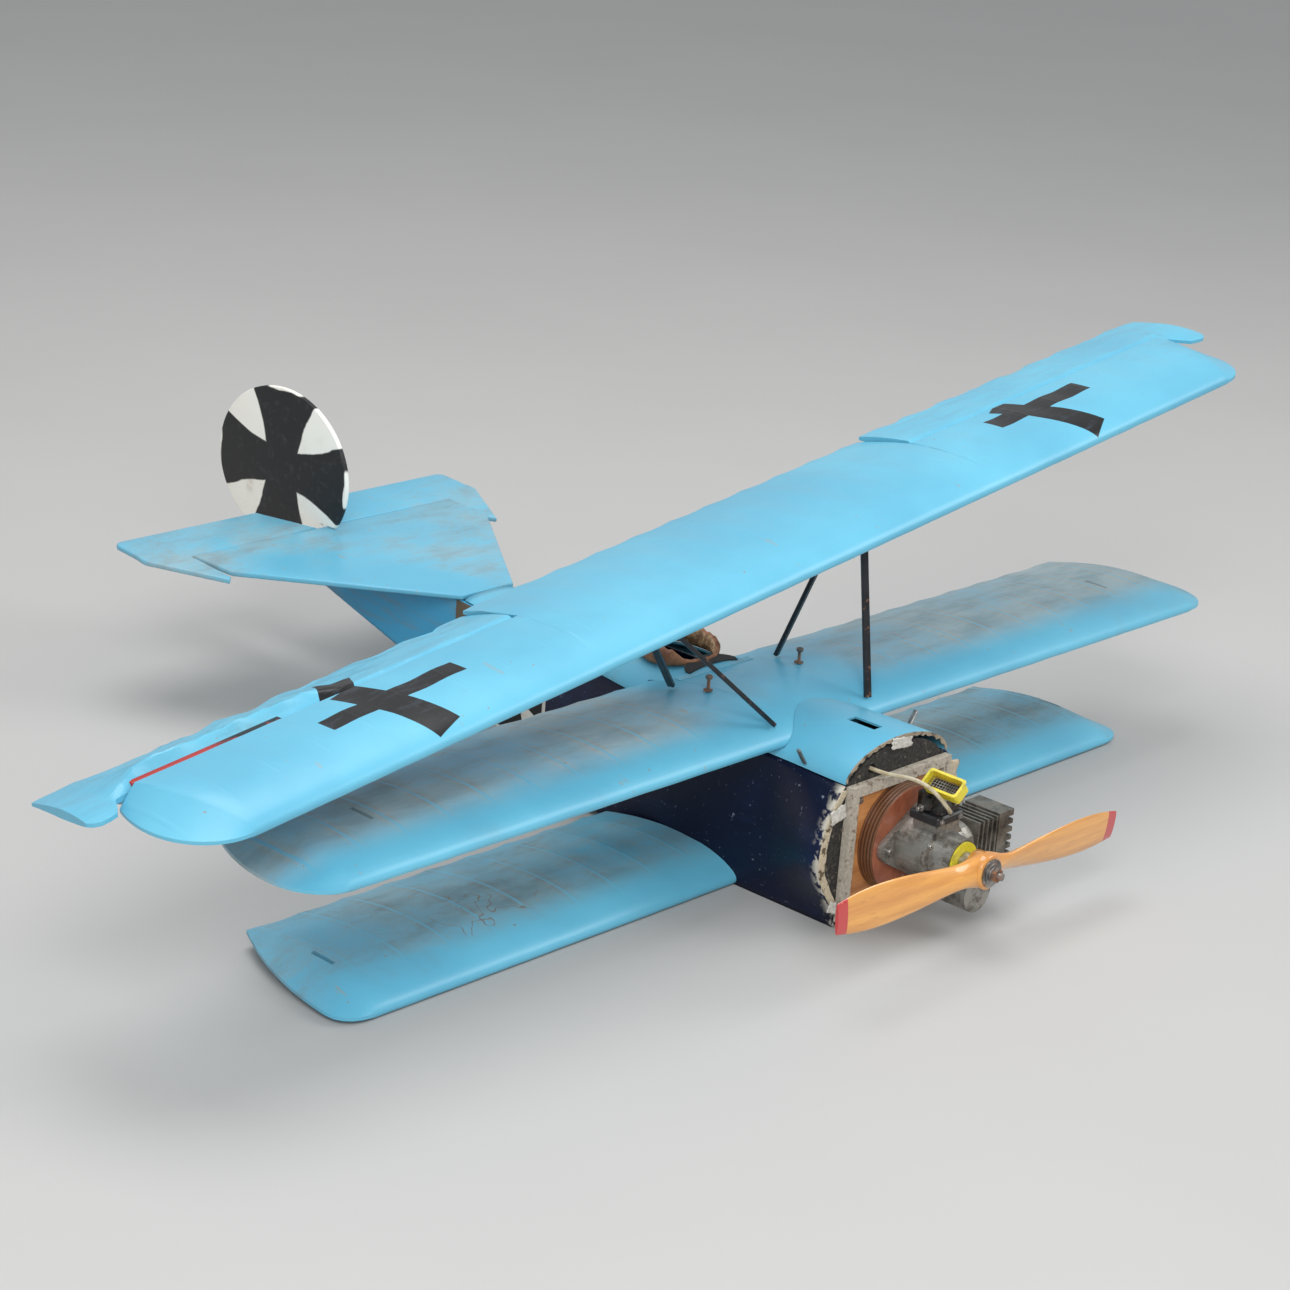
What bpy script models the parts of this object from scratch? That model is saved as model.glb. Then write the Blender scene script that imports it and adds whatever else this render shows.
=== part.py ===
"""Quarter-scale petrol triplane: the airframe, its engine and its working controls.

Metres, +Z up, nose towards -Y, the aircraft's left wing towards +X.
The origin is the middle of the flat belly that the model rests on.
"""
import math

import bmesh
import bpy
from mathutils import Matrix, Vector

# ---- driving dimensions -------------------------------------------------
GAP = 0.0003                    # clearance between touching pieces
SKIN = 0.0025                   # plywood and balsa sheeting

HUB = Vector((0.0, -0.290, 0.095))
PROP_RADIUS = 0.254             # 20 inch propeller
PROP_REST = math.radians(-2.3)
PROP_HUB_DEPTH = 0.024

NOSE_Y = -0.158                 # front face of the round nose former
NOSE_RADIUS = 0.125
NOSE_CENTRE_Z = 0.087
FLARE_END_Y = -0.045            # the round nose has become slab sides here
HALF_WIDTH = 0.087
LONGERON_Z = 0.173              # upper longeron at the nose
TAPER_Y = 0.100                 # the sides start to close in
BELLY_END_Y = 0.190             # the belly starts to rise
BELLY_RISE = 0.20
STERN_Y = 0.815
STERN_HALF_WIDTH = 0.010
DECK_TOP_Z = 0.211
NOSE_DECK_BACK_Y = -0.012
WING_SEAT_BACK_Y = 0.122
SADDLE = 0.0072                 # the sides stand up to meet the wing between those two
DECK_LIFT = 0.0015
DECK_SLOT = (0.015, 0.040, 0.05)
COCKPIT_Y = 0.181
COCKPIT_BACK_Y = 0.300
COAMING_RADIUS = 0.0075
HOOK_X, HOOK_Y = 0.088, -0.099
BOLT_X, BOLT_Y, BOLT_RADIUS = 0.080, 0.0615, 0.003
BOLT_HEAD_Z = 0.2172
JOINER_Y, JOINER_Z, JOINER_RADIUS = 0.055, 0.0175, 0.006
TRAY_Z = 0.062
SERVO_Y = 0.178
SERVO_ARM_Z = TRAY_Z + 0.038
SERVOS = {"elevator_servo": -0.042, "rudder_servo": 0.0, "throttle_servo": 0.042}

RIB_PITCH = 0.0625
SCALLOP = 0.005                 # how far the trailing edge is drawn in between ribs
THICKNESS = 0.125               # of the chord
CAMBER = 0.050
EDGE_HALF = 0.0012              # half thickness left at a trailing edge
TIP_INSET = 0.006               # the tip sections start this far inside its rear corner
SECTION_STEPS = 7
TIP_STEPS = 6

MIDDLE = dict(le=-0.061, te=0.164, z=0.190, corner=0.735, widest=0.785, widest_y=0.005,
              te_corner=0.722, te_rise=0.003)
LOWER = dict(le=-0.012, te=0.204, z=0.0070, corner=0.650, widest=0.686, widest_y=0.018,
             te_corner=0.637, te_rise=0.012)
LOWER_ROOT_X = 0.0876
SLOT_X = 0.638                  # interplane strut slots near the tips
SLOT_SIZE = (0.005, 0.034)

TOP_ORIGIN = Vector((-0.036, -0.048, 0.382))
TOP_LEAN = math.radians(-7.15)  # the cabane has racked, so the top wing leans
TOP_YAW = math.radians(0.71)
TOP = dict(le=0.0, te=0.226, z=0.0, corner=0.827, widest=0.889, widest_y=0.080,
           te_corner=0.812, te_rise=-0.002)
HINGE_CHORD = 0.136
HINGE_GAP = 0.0015
AILERON_INNER_X = 0.342
AILERON_OUTER_X = 0.868
AILERON_NOSE = 0.010
AILERON_REST = math.radians(4.0)
HORN_OUTER_X = 0.933
HORN_FRONT_Y = 0.104

TAIL_Z = 0.195
TAIL_SEAT_Z = 0.1912
TAIL_BACK_Y = 0.8175
TAIL_THICKNESS = 0.007
TAIL_ROOT_Y = 0.508
TAIL_ROOT_X = 0.044
TAIL_TIP_X = 0.222
TAIL_TIP_Y = 0.742
ELEVATOR_HINGE_Y = 0.820
ELEVATOR_TE_Y = 0.902
HORN_TIP_X = 0.287
ELEVATOR_LIFT = math.radians(4.0)

RUDDER_CENTRE = (0.907, 0.258)
RUDDER_SIZE = (0.129, 0.108)
RUDDER_HINGE_Y = 0.828
RUDDER_THICKNESS = 0.007

FIREWALL_Z = 0.090
RING_FRONT_Y = -0.186
CYLINDER_Y = -0.221
SHAFT_RADIUS = 0.0045
FUEL_HOLE = (-0.045, 0.183)     # x and z of the fuel line's hole in the nose former
THROTTLE_PIVOT = Vector((0.008, -0.2395, 0.156))

STRUT_SIZE = (0.0085, 0.0050)
STRUT_CLEARANCE = 0.0016
# name, foot (x, y) on the middle wing, head (x, y) in the top wing's own frame
STRUTS = (
    ("cabane_strut_front_right", (-0.079, -0.047), (-0.200, 0.055)),
    ("cabane_strut_rear_right", (-0.090, 0.107), (-0.206, 0.082)),
    ("cabane_strut_front_left", (0.079, -0.047), (0.137, 0.046)),
    ("cabane_strut_rear_left", (0.090, 0.107), (0.145, 0.086)),
)

# ---- scene, collections and materials -----------------------------------
for old in list(bpy.data.objects):
    bpy.data.objects.remove(old, do_unlink=True)

PARTS = bpy.data.collections.new("triplane")
CUTTERS = bpy.data.collections.new("cutters")
bpy.context.scene.collection.children.link(PARTS)
bpy.context.scene.collection.children.link(CUTTERS)

COLOURS = {
    "blue_film": ((0.10, 0.46, 0.72), 0.35, 0.0),
    "navy_film": ((0.01, 0.015, 0.07), 0.25, 0.0),
    "white_paint": ((0.75, 0.75, 0.72), 0.5, 0.0),
    "ply": ((0.55, 0.36, 0.18), 0.6, 0.0),
    "dark_ply": ((0.05, 0.045, 0.04), 0.8, 0.0),
    "pale_frame": ((0.55, 0.53, 0.47), 0.7, 0.0),
    "brown_laminate": ((0.22, 0.08, 0.04), 0.45, 0.0),
    "prop_wood": ((0.62, 0.27, 0.07), 0.2, 0.0),
    "cast_metal": ((0.30, 0.30, 0.29), 0.5, 0.9),
    "steel": ((0.45, 0.43, 0.40), 0.4, 1.0),
    "black_plastic": ((0.02, 0.02, 0.02), 0.5, 0.0),
    "yellow": ((0.85, 0.75, 0.05), 0.4, 0.0),
    "black_paint": ((0.015, 0.015, 0.015), 0.4, 0.0),
    "cork": ((0.30, 0.13, 0.06), 0.9, 0.0),
    "clear_tube": ((0.70, 0.66, 0.50), 0.3, 0.0),
    "white_plastic": ((0.7, 0.7, 0.68), 0.35, 0.0),
}


def material(key):
    """The named material, made the first time that it is asked for."""
    if key in bpy.data.materials:
        return bpy.data.materials[key]
    colour, roughness, metallic = COLOURS[key]
    made = bpy.data.materials.new(key)
    made.use_nodes = True
    shader = made.node_tree.nodes["Principled BSDF"]
    shader.inputs["Base Color"].default_value = (*colour, 1.0)
    shader.inputs["Roughness"].default_value = roughness
    shader.inputs["Metallic"].default_value = metallic
    return made


# ---- helpers --------------------------------------------------------------
def place(name, mesh, key, parent=None, smooth=True):
    """Put a mesh in the parts collection as one named piece."""
    piece = bpy.data.objects.new(name, mesh)
    PARTS.objects.link(piece)
    mesh.materials.append(material(key))
    if smooth:
        mesh.shade_smooth()
        mesh.set_sharp_from_angle(angle=math.radians(35))
    piece.parent = parent
    return piece


def as_mesh(name, bm):
    """Close off a bmesh into a mesh whose faces point outwards."""
    bmesh.ops.recalc_face_normals(bm, faces=bm.faces)
    mesh = bpy.data.meshes.new(name)
    bm.to_mesh(mesh)
    bm.free()
    return mesh


def box_mesh(size, centre=(0, 0, 0), turn=None):
    """A box of the given size, turned about its own centre."""
    bm = bmesh.new()
    bmesh.ops.create_cube(bm, size=1.0)
    bmesh.ops.scale(bm, vec=Vector(size), verts=bm.verts)
    if turn is not None:
        bmesh.ops.transform(bm, matrix=turn, verts=bm.verts)
    bmesh.ops.translate(bm, vec=Vector(centre), verts=bm.verts)
    return as_mesh("box", bm)


def rod_mesh(radius, start, end, sides=24, radius_end=None):
    """A closed cylinder or cone between two points."""
    start, end = Vector(start), Vector(end)
    along = end - start
    bm = bmesh.new()
    tip = radius if radius_end is None else radius_end
    bmesh.ops.create_cone(bm, cap_ends=True, segments=sides, radius1=radius, radius2=tip,
                          depth=along.length)
    turn = along.to_track_quat("Z", "Y").to_matrix().to_4x4()
    bmesh.ops.transform(bm, matrix=Matrix.Translation((start + end) / 2) @ turn, verts=bm.verts)
    return as_mesh("rod", bm)


def box(name, size, centre, key, bevel=0.0, turn=None):
    """A box as a piece, its edges rounded when a bevel is given."""
    piece = place(name, box_mesh(size, centre, turn), key)
    if bevel:
        rounding = piece.modifiers.new("round", "BEVEL")
        rounding.width = bevel
        rounding.segments = 1
    return piece


def rod(name, radius, start, end, key, sides=24):
    """A cylinder between two points as a piece."""
    return place(name, rod_mesh(radius, start, end, sides), key)


def helper(mesh, piece):
    """A hidden operand for a Boolean modifier, laid where its piece is."""
    tool = bpy.data.objects.new("tool", mesh)
    CUTTERS.objects.link(tool)
    tool.hide_render = True
    tool.display_type = "WIRE"
    tool.parent = piece.parent
    tool.location = piece.location
    return tool


def boolean(piece, mesh, operation="DIFFERENCE"):
    """Cut a mesh from a piece, or join it on."""
    step = piece.modifiers.new(operation.lower(), "BOOLEAN")
    step.operation = operation
    step.object = helper(mesh, piece)
    return piece


def loft_mesh(rings, triangles=False):
    """A closed solid through equal rings of points, capped at both ends."""
    bm = bmesh.new()
    rows = [[bm.verts.new(point) for point in ring] for ring in rings]
    count = len(rings[0])
    for near, far in zip(rows, rows[1:]):
        for i in range(count):
            j = (i + 1) % count
            bm.faces.new((near[i], near[j], far[j], far[i]))
    bm.faces.new(rows[0])
    bm.faces.new(rows[-1])
    if triangles:
        bmesh.ops.triangulate(bm, faces=bm.faces)
    return as_mesh("loft", bm)


def loft(name, rings, key, parent=None, triangles=False):
    """A lofted solid as a piece."""
    return place(name, loft_mesh(rings, triangles), key, parent)


def sheet(name, point, u_steps, v_steps, thickness, key, towards):
    """A sheeted surface point(u, v), thickened away from the side that it faces."""
    bm = bmesh.new()
    rows = [[bm.verts.new(point(u, v)) for v in v_steps] for u in u_steps]
    for near, far in zip(rows, rows[1:]):
        for i in range(len(v_steps) - 1):
            bm.faces.new((near[i], near[i + 1], far[i + 1], far[i]))
    bm.normal_update()
    facing = sum((face.normal * face.calc_area() for face in bm.faces), Vector())
    if facing.dot(Vector(towards)) < 0:
        bmesh.ops.reverse_faces(bm, faces=bm.faces)
    mesh = bpy.data.meshes.new(name)
    bm.to_mesh(mesh)
    bm.free()
    piece = place(name, mesh, key)
    shell = piece.modifiers.new("thickness", "SOLIDIFY")
    shell.thickness = thickness
    shell.offset = -1.0
    return piece


def plate_mesh(outline, thickness, frame):
    """A flat plate: a closed outline in the frame's XY plane, thickened about it."""
    curve = bpy.data.curves.new("outline", "CURVE")
    curve.dimensions = "2D"
    curve.fill_mode = "BOTH"
    curve.extrude = thickness / 2
    spline = curve.splines.new("POLY")
    spline.points.add(len(outline) - 1)
    for spot, (x, y) in zip(spline.points, outline):
        spot.co = (x, y, 0.0, 1.0)
    spline.use_cyclic_u = True
    guide = bpy.data.objects.new("outline", curve)
    CUTTERS.objects.link(guide)
    bpy.context.view_layer.update()
    flat = bpy.data.meshes.new_from_object(guide.evaluated_get(bpy.context.evaluated_depsgraph_get()))
    bpy.data.objects.remove(guide, do_unlink=True)
    bm = bmesh.new()
    bm.from_mesh(flat)
    bmesh.ops.remove_doubles(bm, verts=bm.verts, dist=1e-6)
    bmesh.ops.transform(bm, matrix=frame, verts=bm.verts)
    return as_mesh("plate", bm)


def tube(name, points, radius, key, cyclic=False, resolution=2):
    """A round tube or rail through the given points."""
    curve = bpy.data.curves.new(name, "CURVE")
    curve.dimensions = "3D"
    curve.bevel_depth = radius
    curve.bevel_resolution = resolution
    curve.use_fill_caps = not cyclic
    spline = curve.splines.new("POLY")
    spline.points.add(len(points) - 1)
    for spot, point in zip(spline.points, points):
        spot.co = (*point, 1.0)
    spline.use_cyclic_u = cyclic
    piece = bpy.data.objects.new(name, curve)
    PARTS.objects.link(piece)
    curve.materials.append(material(key))
    return piece


def spread(start, end, count):
    """Evenly spaced values from start to end."""
    return [start + (end - start) * i / (count - 1) for i in range(count)]


def arc(centre, radius, start, end, count):
    """Points on a circular arc, angles in degrees."""
    angles = [math.radians(a) for a in spread(start, end, count)]
    return [(centre[0] + radius * math.cos(a), centre[1] + radius * math.sin(a)) for a in angles]


# plate frames: the plate's X and Y axes laid in a plane of the aircraft
def facing_front(y):
    """Outline X to +X, outline Y to +Z, at station y."""
    return Matrix.Translation((0, y, 0)) @ Matrix.Rotation(math.pi / 2, 4, "X")


def lying(z):
    return Matrix.Translation((0, 0, z))


def standing(x):
    """Outline X to +Y, outline Y to +Z, at the given x."""
    turn = Matrix(((0, 0, 1, 0), (1, 0, 0, 0), (0, 1, 0, 0), (0, 0, 0, 1)))
    return Matrix.Translation((x, 0, 0)) @ turn


# ---- aerofoils and wings --------------------------------------------------
def profile(wing, place, shrink=1.0):
    """Mean height and half thickness at a chordwise place (0 leading edge, 1 trailing edge)."""
    chord = wing["te"] - wing["le"]
    fade = (0.2969 * math.sqrt(place) - 0.126 * place - 0.3516 * place ** 2
            + 0.2843 * place ** 3 - 0.1015 * place ** 4)
    mean = shrink * 4 * CAMBER * chord * place * (1 - place)
    return mean, 5 * THICKNESS * chord * fade * shrink + EDGE_HALF


def ring(wing, front, back, swell=0.0):
    """One section between a front and a back (x, y) point, over the top and back underneath."""
    chord = wing["te"] - wing["le"]
    reach = (back[1] - wing["le"]) / chord
    shrink = ((back[1] - front[1]) / (back[1] - wing["le"])) ** 0.65
    upper, lower = [], []
    for i in range(SECTION_STEPS + 1):
        t = (1 - math.cos(math.pi * i / SECTION_STEPS)) / 2
        mean, half = profile(wing, min(reach * t, 1.0), shrink)
        half += swell
        x = front[0] + (back[0] - front[0]) * t
        y = front[1] + (back[1] - front[1]) * t
        z = wing["z"] + mean + wing["te_rise"] * (y - wing["le"]) / chord
        upper.append((x, y, z + half))
        lower.append((x, y, z - half))
    return upper[::-1] + lower


def tip_bow(wing, y):
    """How far out the rounded wing tip reaches at chordwise place y."""
    if y < wing["widest_y"]:
        ahead = (wing["widest_y"] - y) / (wing["widest_y"] - wing["le"])
        return wing["corner"] + (wing["widest"] - wing["corner"]) * math.sqrt(max(0.0, 1 - ahead ** 2))
    aft = (y - wing["widest_y"]) / (wing["te"] - wing["widest_y"])
    return wing["te_corner"] + (wing["widest"] - wing["te_corner"]) * (1 - aft ** 2)


def scallop(x):
    """How far the trailing edge is drawn in between the ribs."""
    return SCALLOP * abs(math.sin(math.pi * x / RIB_PITCH))


def stations(start, end):
    """Rib and mid-bay places from start out to end."""
    places = [k * RIB_PITCH / 2 for k in range(1, 40)]
    return [start] + [x for x in places if start + 0.010 < x < end - 0.010] + [end]


def last_rib(wing):
    """The outermost rib that runs straight back, inside a tip whose rear corner is drawn in."""
    return math.floor((wing["te_corner"] - TIP_INSET) / RIB_PITCH) * RIB_PITCH


def tip_rings(wing, back_y, back_x):
    """Sections fanned out round a rounded tip, from its front corner to its rear corner."""
    start = min(wing["corner"], back_x - TIP_INSET)
    rings = []
    for k in range(0 if start < wing["corner"] else 1, TIP_STEPS + 1):
        share = k / (TIP_STEPS + 0.35)
        y = wing["le"] + (back_y - wing["le"]) * share ** 1.6
        rear_x = start + (back_x - start) * share ** 0.7
        rings.append(ring(wing, (tip_bow(wing, y), y), (rear_x, back_y)))
    return rings


def mirrored(rings):
    """The same sections on the other wing half, in loft order."""
    return [[(-x, y, z) for x, y, z in points] for points in reversed(rings)]


def middle_wing():
    """One-piece middle wing, its middle cut short ahead of the cockpit."""
    wing = MIDDLE
    bay = 0.0665
    half = [ring(wing, (x, wing["le"]), (x, WING_SEAT_BACK_Y)) for x in (0.0, 0.035, bay)]
    half += [ring(wing, (x, wing["le"]), (x, wing["te"] - scallop(x)))
             for x in stations(bay + 0.002, last_rib(wing))]
    half += tip_rings(wing, wing["te"], wing["te_corner"])
    piece = loft("middle_wing", mirrored(half[1:]) + half, "blue_film", triangles=True)
    for side in (-1, 1):
        boolean(piece, box_mesh((*SLOT_SIZE, 0.10), (side * SLOT_X, 0.030, wing["z"])))
        boolean(piece, rod_mesh(BOLT_RADIUS + GAP, (side * BOLT_X, BOLT_Y, 0.15),
                                (side * BOLT_X, BOLT_Y, 0.25), 12))


def lower_wing(side, name):
    """One lower wing panel with the socket for its joiner tube."""
    wing = LOWER
    half = [ring(wing, (x, wing["le"]), (x, wing["te"] - scallop(x)))
            for x in stations(LOWER_ROOT_X, last_rib(wing))]
    half += tip_rings(wing, wing["te"], wing["te_corner"])
    piece = loft(name, half if side > 0 else mirrored(half), "blue_film", triangles=True)
    boolean(piece, box_mesh((*SLOT_SIZE, 0.10), (side * SLOT_X, 0.079, wing["z"])))
    socket = JOINER_RADIUS + GAP
    boolean(piece, rod_mesh(socket, (side * 0.05, JOINER_Y, JOINER_Z),
                            (side * 0.185, JOINER_Y, JOINER_Z), 16))


def top_wing(frame):
    """The top wing, which stops square at the hinge line where the ailerons hang."""
    wing = TOP
    back = HINGE_CHORD - HINGE_GAP
    half = [ring(wing, (x, wing["le"]), (x, wing["te"] - scallop(x)))
            for x in stations(0.0, AILERON_INNER_X - 0.004)]
    half += [ring(wing, (x, wing["le"]), (x, back))
             for x in stations(AILERON_INNER_X - 0.003, wing["corner"])]
    half += tip_rings(wing, back, AILERON_OUTER_X - 0.004)
    loft("top_wing", mirrored(half[1:]) + half, "blue_film", frame)


def aileron_ring(front, back):
    """An aileron section: a rounded nose on the hinge line, then the wing's own profile."""
    chord = TOP["te"] - TOP["le"]
    upper, lower = [], []
    for t in (0.0, 0.05, 0.13, 0.3, 0.55, 0.8, 1.0):
        x = front[0] + (back[0] - front[0]) * t
        y = front[1] + (back[1] - front[1]) * t
        mean, half = profile(TOP, y / chord)
        nose = min(1.0, 0.12 + (y - front[1]) / AILERON_NOSE) ** 0.6
        z = mean + TOP["te_rise"] * y / chord
        upper.append((x, y, z + half * nose))
        lower.append((x, y, z - half * nose))
    return upper[::-1] + lower


def aileron(name, side, frame):
    """One aileron with its balance horn outboard of the wing tip, built about its hinge line."""
    te = TOP["te"]
    hinge = HINGE_CHORD
    half = [aileron_ring((x, hinge), (x, te - scallop(x)))
            for x in stations(AILERON_INNER_X, AILERON_OUTER_X)]
    half.append(aileron_ring((0.882, 0.134), (0.882, te - 0.003)))
    half.append(aileron_ring((0.900, HORN_FRONT_Y + 0.004), (0.897, te - 0.004)))
    half.append(aileron_ring((0.922, HORN_FRONT_Y), (0.912, te - 0.006)))
    half.append(aileron_ring((HORN_OUTER_X, HORN_FRONT_Y + 0.010), (0.922, te - 0.010)))
    piece = loft(name, half if side > 0 else mirrored(half), "blue_film", frame)
    settle(piece, (0, hinge, hinge_height()), "X", AILERON_REST * side)


def hinge_height():
    """Height of the aileron hinge line in the top wing's own frame."""
    place = HINGE_CHORD / TOP["te"]
    return profile(TOP, place)[0] + TOP["te_rise"] * place


def settle(piece, pivot, axis, angle):
    """Give a moving piece its pivot as origin and turn it to where it rests."""
    pivot = Vector(pivot)
    piece.data.transform(Matrix.Translation(-pivot))
    piece.location = pivot
    piece.rotation_euler["XYZ".index(axis)] = angle


# ---- fuselage ---------------------------------------------------------------
def half_width(y):
    """Half width of the slab-sided fuselage."""
    if y < TAPER_Y:
        return HALF_WIDTH
    share = (y - TAPER_Y) / (STERN_Y - TAPER_Y)
    return HALF_WIDTH + (STERN_HALF_WIDTH - HALF_WIDTH) * share


def belly_z(y):
    return max(0.0, y - BELLY_END_Y) * BELLY_RISE


def longeron_z(y):
    """Upper longeron, which climbs gently to the tailplane seat."""
    share = min(max((y - TAPER_Y) / (TAIL_ROOT_Y - TAPER_Y), 0.0), 1.0)
    return LONGERON_Z + (TAIL_SEAT_Z - LONGERON_Z) * share


def nose_bulge(y, z):
    """How far the round nose stands out beyond the slab sides."""
    fade = min(max((FLARE_END_Y - y) / (FLARE_END_Y - NOSE_Y), 0.0), 1.0)
    rise = NOSE_RADIUS ** 2 - (z - NOSE_CENTRE_Z) ** 2
    round_x = math.sqrt(max(rise, 0.0))
    low = math.sin(math.pi / 2 * min(1.0, z / NOSE_CENTRE_Z)) ** 1.2
    target = HALF_WIDTH + (round_x - HALF_WIDTH) * (low if z < NOSE_CENTRE_Z else 1.0)
    smooth = fade * fade * (3 - 2 * fade)
    return max(0.0, target - HALF_WIDTH) * smooth


def deck_z(y, share, top):
    """Arched deck: longeron height at the edges, top height in the middle."""
    edge = longeron_z(y)
    return edge + (top - edge) * math.sqrt(max(0.0, 1 - share * share)) ** 1.1


def side_panel(name, side):
    """Fuselage side, from the round nose to the knife-edge stern."""
    step = 0.0005
    ys = spread(NOSE_Y, FLARE_END_Y, 6) + [NOSE_DECK_BACK_Y + step, NOSE_DECK_BACK_Y + 2 * step, TAPER_Y]
    ys += [WING_SEAT_BACK_Y - step, WING_SEAT_BACK_Y + step, BELLY_END_Y, 0.36, TAIL_ROOT_Y, STERN_Y]

    def point(y, share):
        low = belly_z(y) + GAP
        high = longeron_z(y)
        if NOSE_DECK_BACK_Y + 1.5 * step < y < WING_SEAT_BACK_Y:
            high += SADDLE
        z = low + (high - low) * share
        return (side * (half_width(y) + nose_bulge(y, z)), y, z)

    panel = sheet(name, point, ys, spread(0.0, 1.0, 9), SKIN, "navy_film", (side, 0, 0))
    boolean(panel, rod_mesh(JOINER_RADIUS + GAP, (side * 0.07, JOINER_Y, JOINER_Z),
                            (side * 0.10, JOINER_Y, JOINER_Z), 16))


def belly_panel():
    """Plywood belly: flat under the engine bay and wings, then sweeping up to the stern."""
    ys = [NOSE_Y, TAPER_Y, BELLY_END_Y, 0.36, TAIL_ROOT_Y, STERN_Y]

    def point(y, share):
        return (share * (half_width(y) - SKIN - GAP), y, belly_z(y))

    sheet("belly_panel", point, ys, [-1.0, 0.0, 1.0], SKIN, "navy_film", (0, 0, -1))


def deck(name, y_front, y_back, top_front, top_back):
    """An arched deck panel between two stations."""
    ys = spread(y_front, y_back, 3)

    def point(y, share):
        along = (y - y_front) / (y_back - y_front)
        top = top_front + (top_back - top_front) * along
        wide = half_width(y) + nose_bulge(y, LONGERON_Z)
        return (share * wide, y, deck_z(y, share, top) + DECK_LIFT)

    shares = [math.sin(math.radians(a)) for a in spread(-90, 90, 15)]
    return sheet(name, point, ys, shares, SKIN, "blue_film", (0, 0, 1))


def wing_clearance():
    """The middle wing's root, slightly swollen, for trimming the decks round it."""
    wing = dict(MIDDLE, le=MIDDLE["le"] - 0.0006)
    rings = [ring(wing, (x, wing["le"]), (x, back), 0.0006)
             for x, back in ((-0.13, wing["te"] + 0.001), (-0.0660, wing["te"] + 0.001),
                             (-0.0655, WING_SEAT_BACK_Y + 0.0006), (0.0655, WING_SEAT_BACK_Y + 0.0006),
                             (0.0660, wing["te"] + 0.001), (0.13, wing["te"] + 0.001))]
    return loft_mesh(rings)


def fuselage():
    side_panel("side_panel_left", 1)
    side_panel("side_panel_right", -1)
    belly_panel()
    nose = deck("nose_deck", NOSE_Y, NOSE_DECK_BACK_Y, DECK_TOP_Z, DECK_TOP_Z)
    boolean(nose, box_mesh(DECK_SLOT, (-0.0025, -0.109, DECK_TOP_Z)))
    boolean(nose, wing_clearance())
    cockpit = deck("cockpit_deck", WING_SEAT_BACK_Y + 0.002, COCKPIT_BACK_Y, DECK_TOP_Z, DECK_TOP_Z - 0.002)
    boolean(cockpit, plate_mesh(cockpit_outline(0.0), 0.10, lying(DECK_TOP_Z)))
    boolean(cockpit, wing_clearance())
    deck("rear_deck", COCKPIT_BACK_Y + GAP, TAIL_ROOT_Y - 0.004, DECK_TOP_Z - 0.002, TAIL_Z + 0.002)


def cockpit_outline(grow):
    """Egg-shaped cockpit opening."""
    points = []
    for k in range(28):
        a = 2 * math.pi * k / 28
        points.append(((0.040 + grow) * math.cos(a), COCKPIT_Y + (0.042 + grow) * math.sin(a)))
    return points


def former_outline(y, inset):
    """Cross-section of the fuselage at station y, drawn in from the skin."""
    points = []
    for z in spread(belly_z(y) + SKIN + inset, longeron_z(y), 10):
        points.append((half_width(y) + nose_bulge(y, z) - SKIN - inset, z))
    for a in spread(15, 75, 5):
        share = math.cos(math.radians(a))
        points.append((share * (half_width(y) - SKIN - inset),
                       deck_z(y, share, DECK_TOP_Z) - SKIN - 2 * inset))
    points.append((0.0, DECK_TOP_Z - SKIN - 2 * inset))
    return points + [(-x, z) for x, z in reversed(points[:-1])]


def former(name, y, thickness, key, opening, inset):
    """A plywood bulkhead with a square opening."""
    plate = plate_mesh(former_outline(y, inset), thickness, facing_front(y))
    piece = place(name, plate, key)
    boolean(piece, box_mesh((opening[0], 0.05, opening[1]), (0, y, opening[2])))
    return piece


def interior():
    """What the fuselage carries: formers, tank, radio gear and the wing joiner."""
    former_plate = former("front_former", NOSE_Y + 0.0027, 0.005, "dark_ply", (0.120, 0.110, 0.088), 0.002)
    hole_x, hole_z = FUEL_HOLE
    ahead, behind = (hole_x, NOSE_Y - 0.01, hole_z), (hole_x, NOSE_Y + 0.02, hole_z)
    boolean(former_plate, rod_mesh(0.006, ahead, behind, 12))
    former("cockpit_former", COCKPIT_BACK_Y - 0.008, 0.003, "ply", (0.090, 0.120, 0.085), 0.001)
    box("tail_post", (0.012, 0.008, 0.058), (0, STERN_Y - 0.006, 0.160), "ply")
    box("fuel_tank", (0.090, 0.105, 0.070), (0, -0.090, 0.055), "white_plastic", 0.008)
    box("battery_pack", (0.056, 0.090, 0.026), (0, 0.045, 0.046), "black_plastic", 0.002)
    rod("wing_joiner_tube", JOINER_RADIUS, (-0.180, JOINER_Y, JOINER_Z), (0.180, JOINER_Y, JOINER_Z),
        "cast_metal", 16)
    box("servo_tray", (0.130, 0.110, 0.004), (0, 0.195, TRAY_Z - 0.002), "ply")
    box("receiver", (0.046, 0.032, 0.018), (0, 0.226, TRAY_Z + 0.0093), "black_plastic", 0.001)
    for name, x in SERVOS.items():
        box(name, (0.020, 0.040, 0.036), (x, SERVO_Y, TRAY_Z + GAP + 0.018), "black_plastic", 0.001)
        arm = box(name + "_arm", (0.034, 0.007, 0.0025), (0, 0, 0), "white_plastic", 0.0008)
        arm.location = (x, SERVO_Y, SERVO_ARM_Z)


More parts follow.
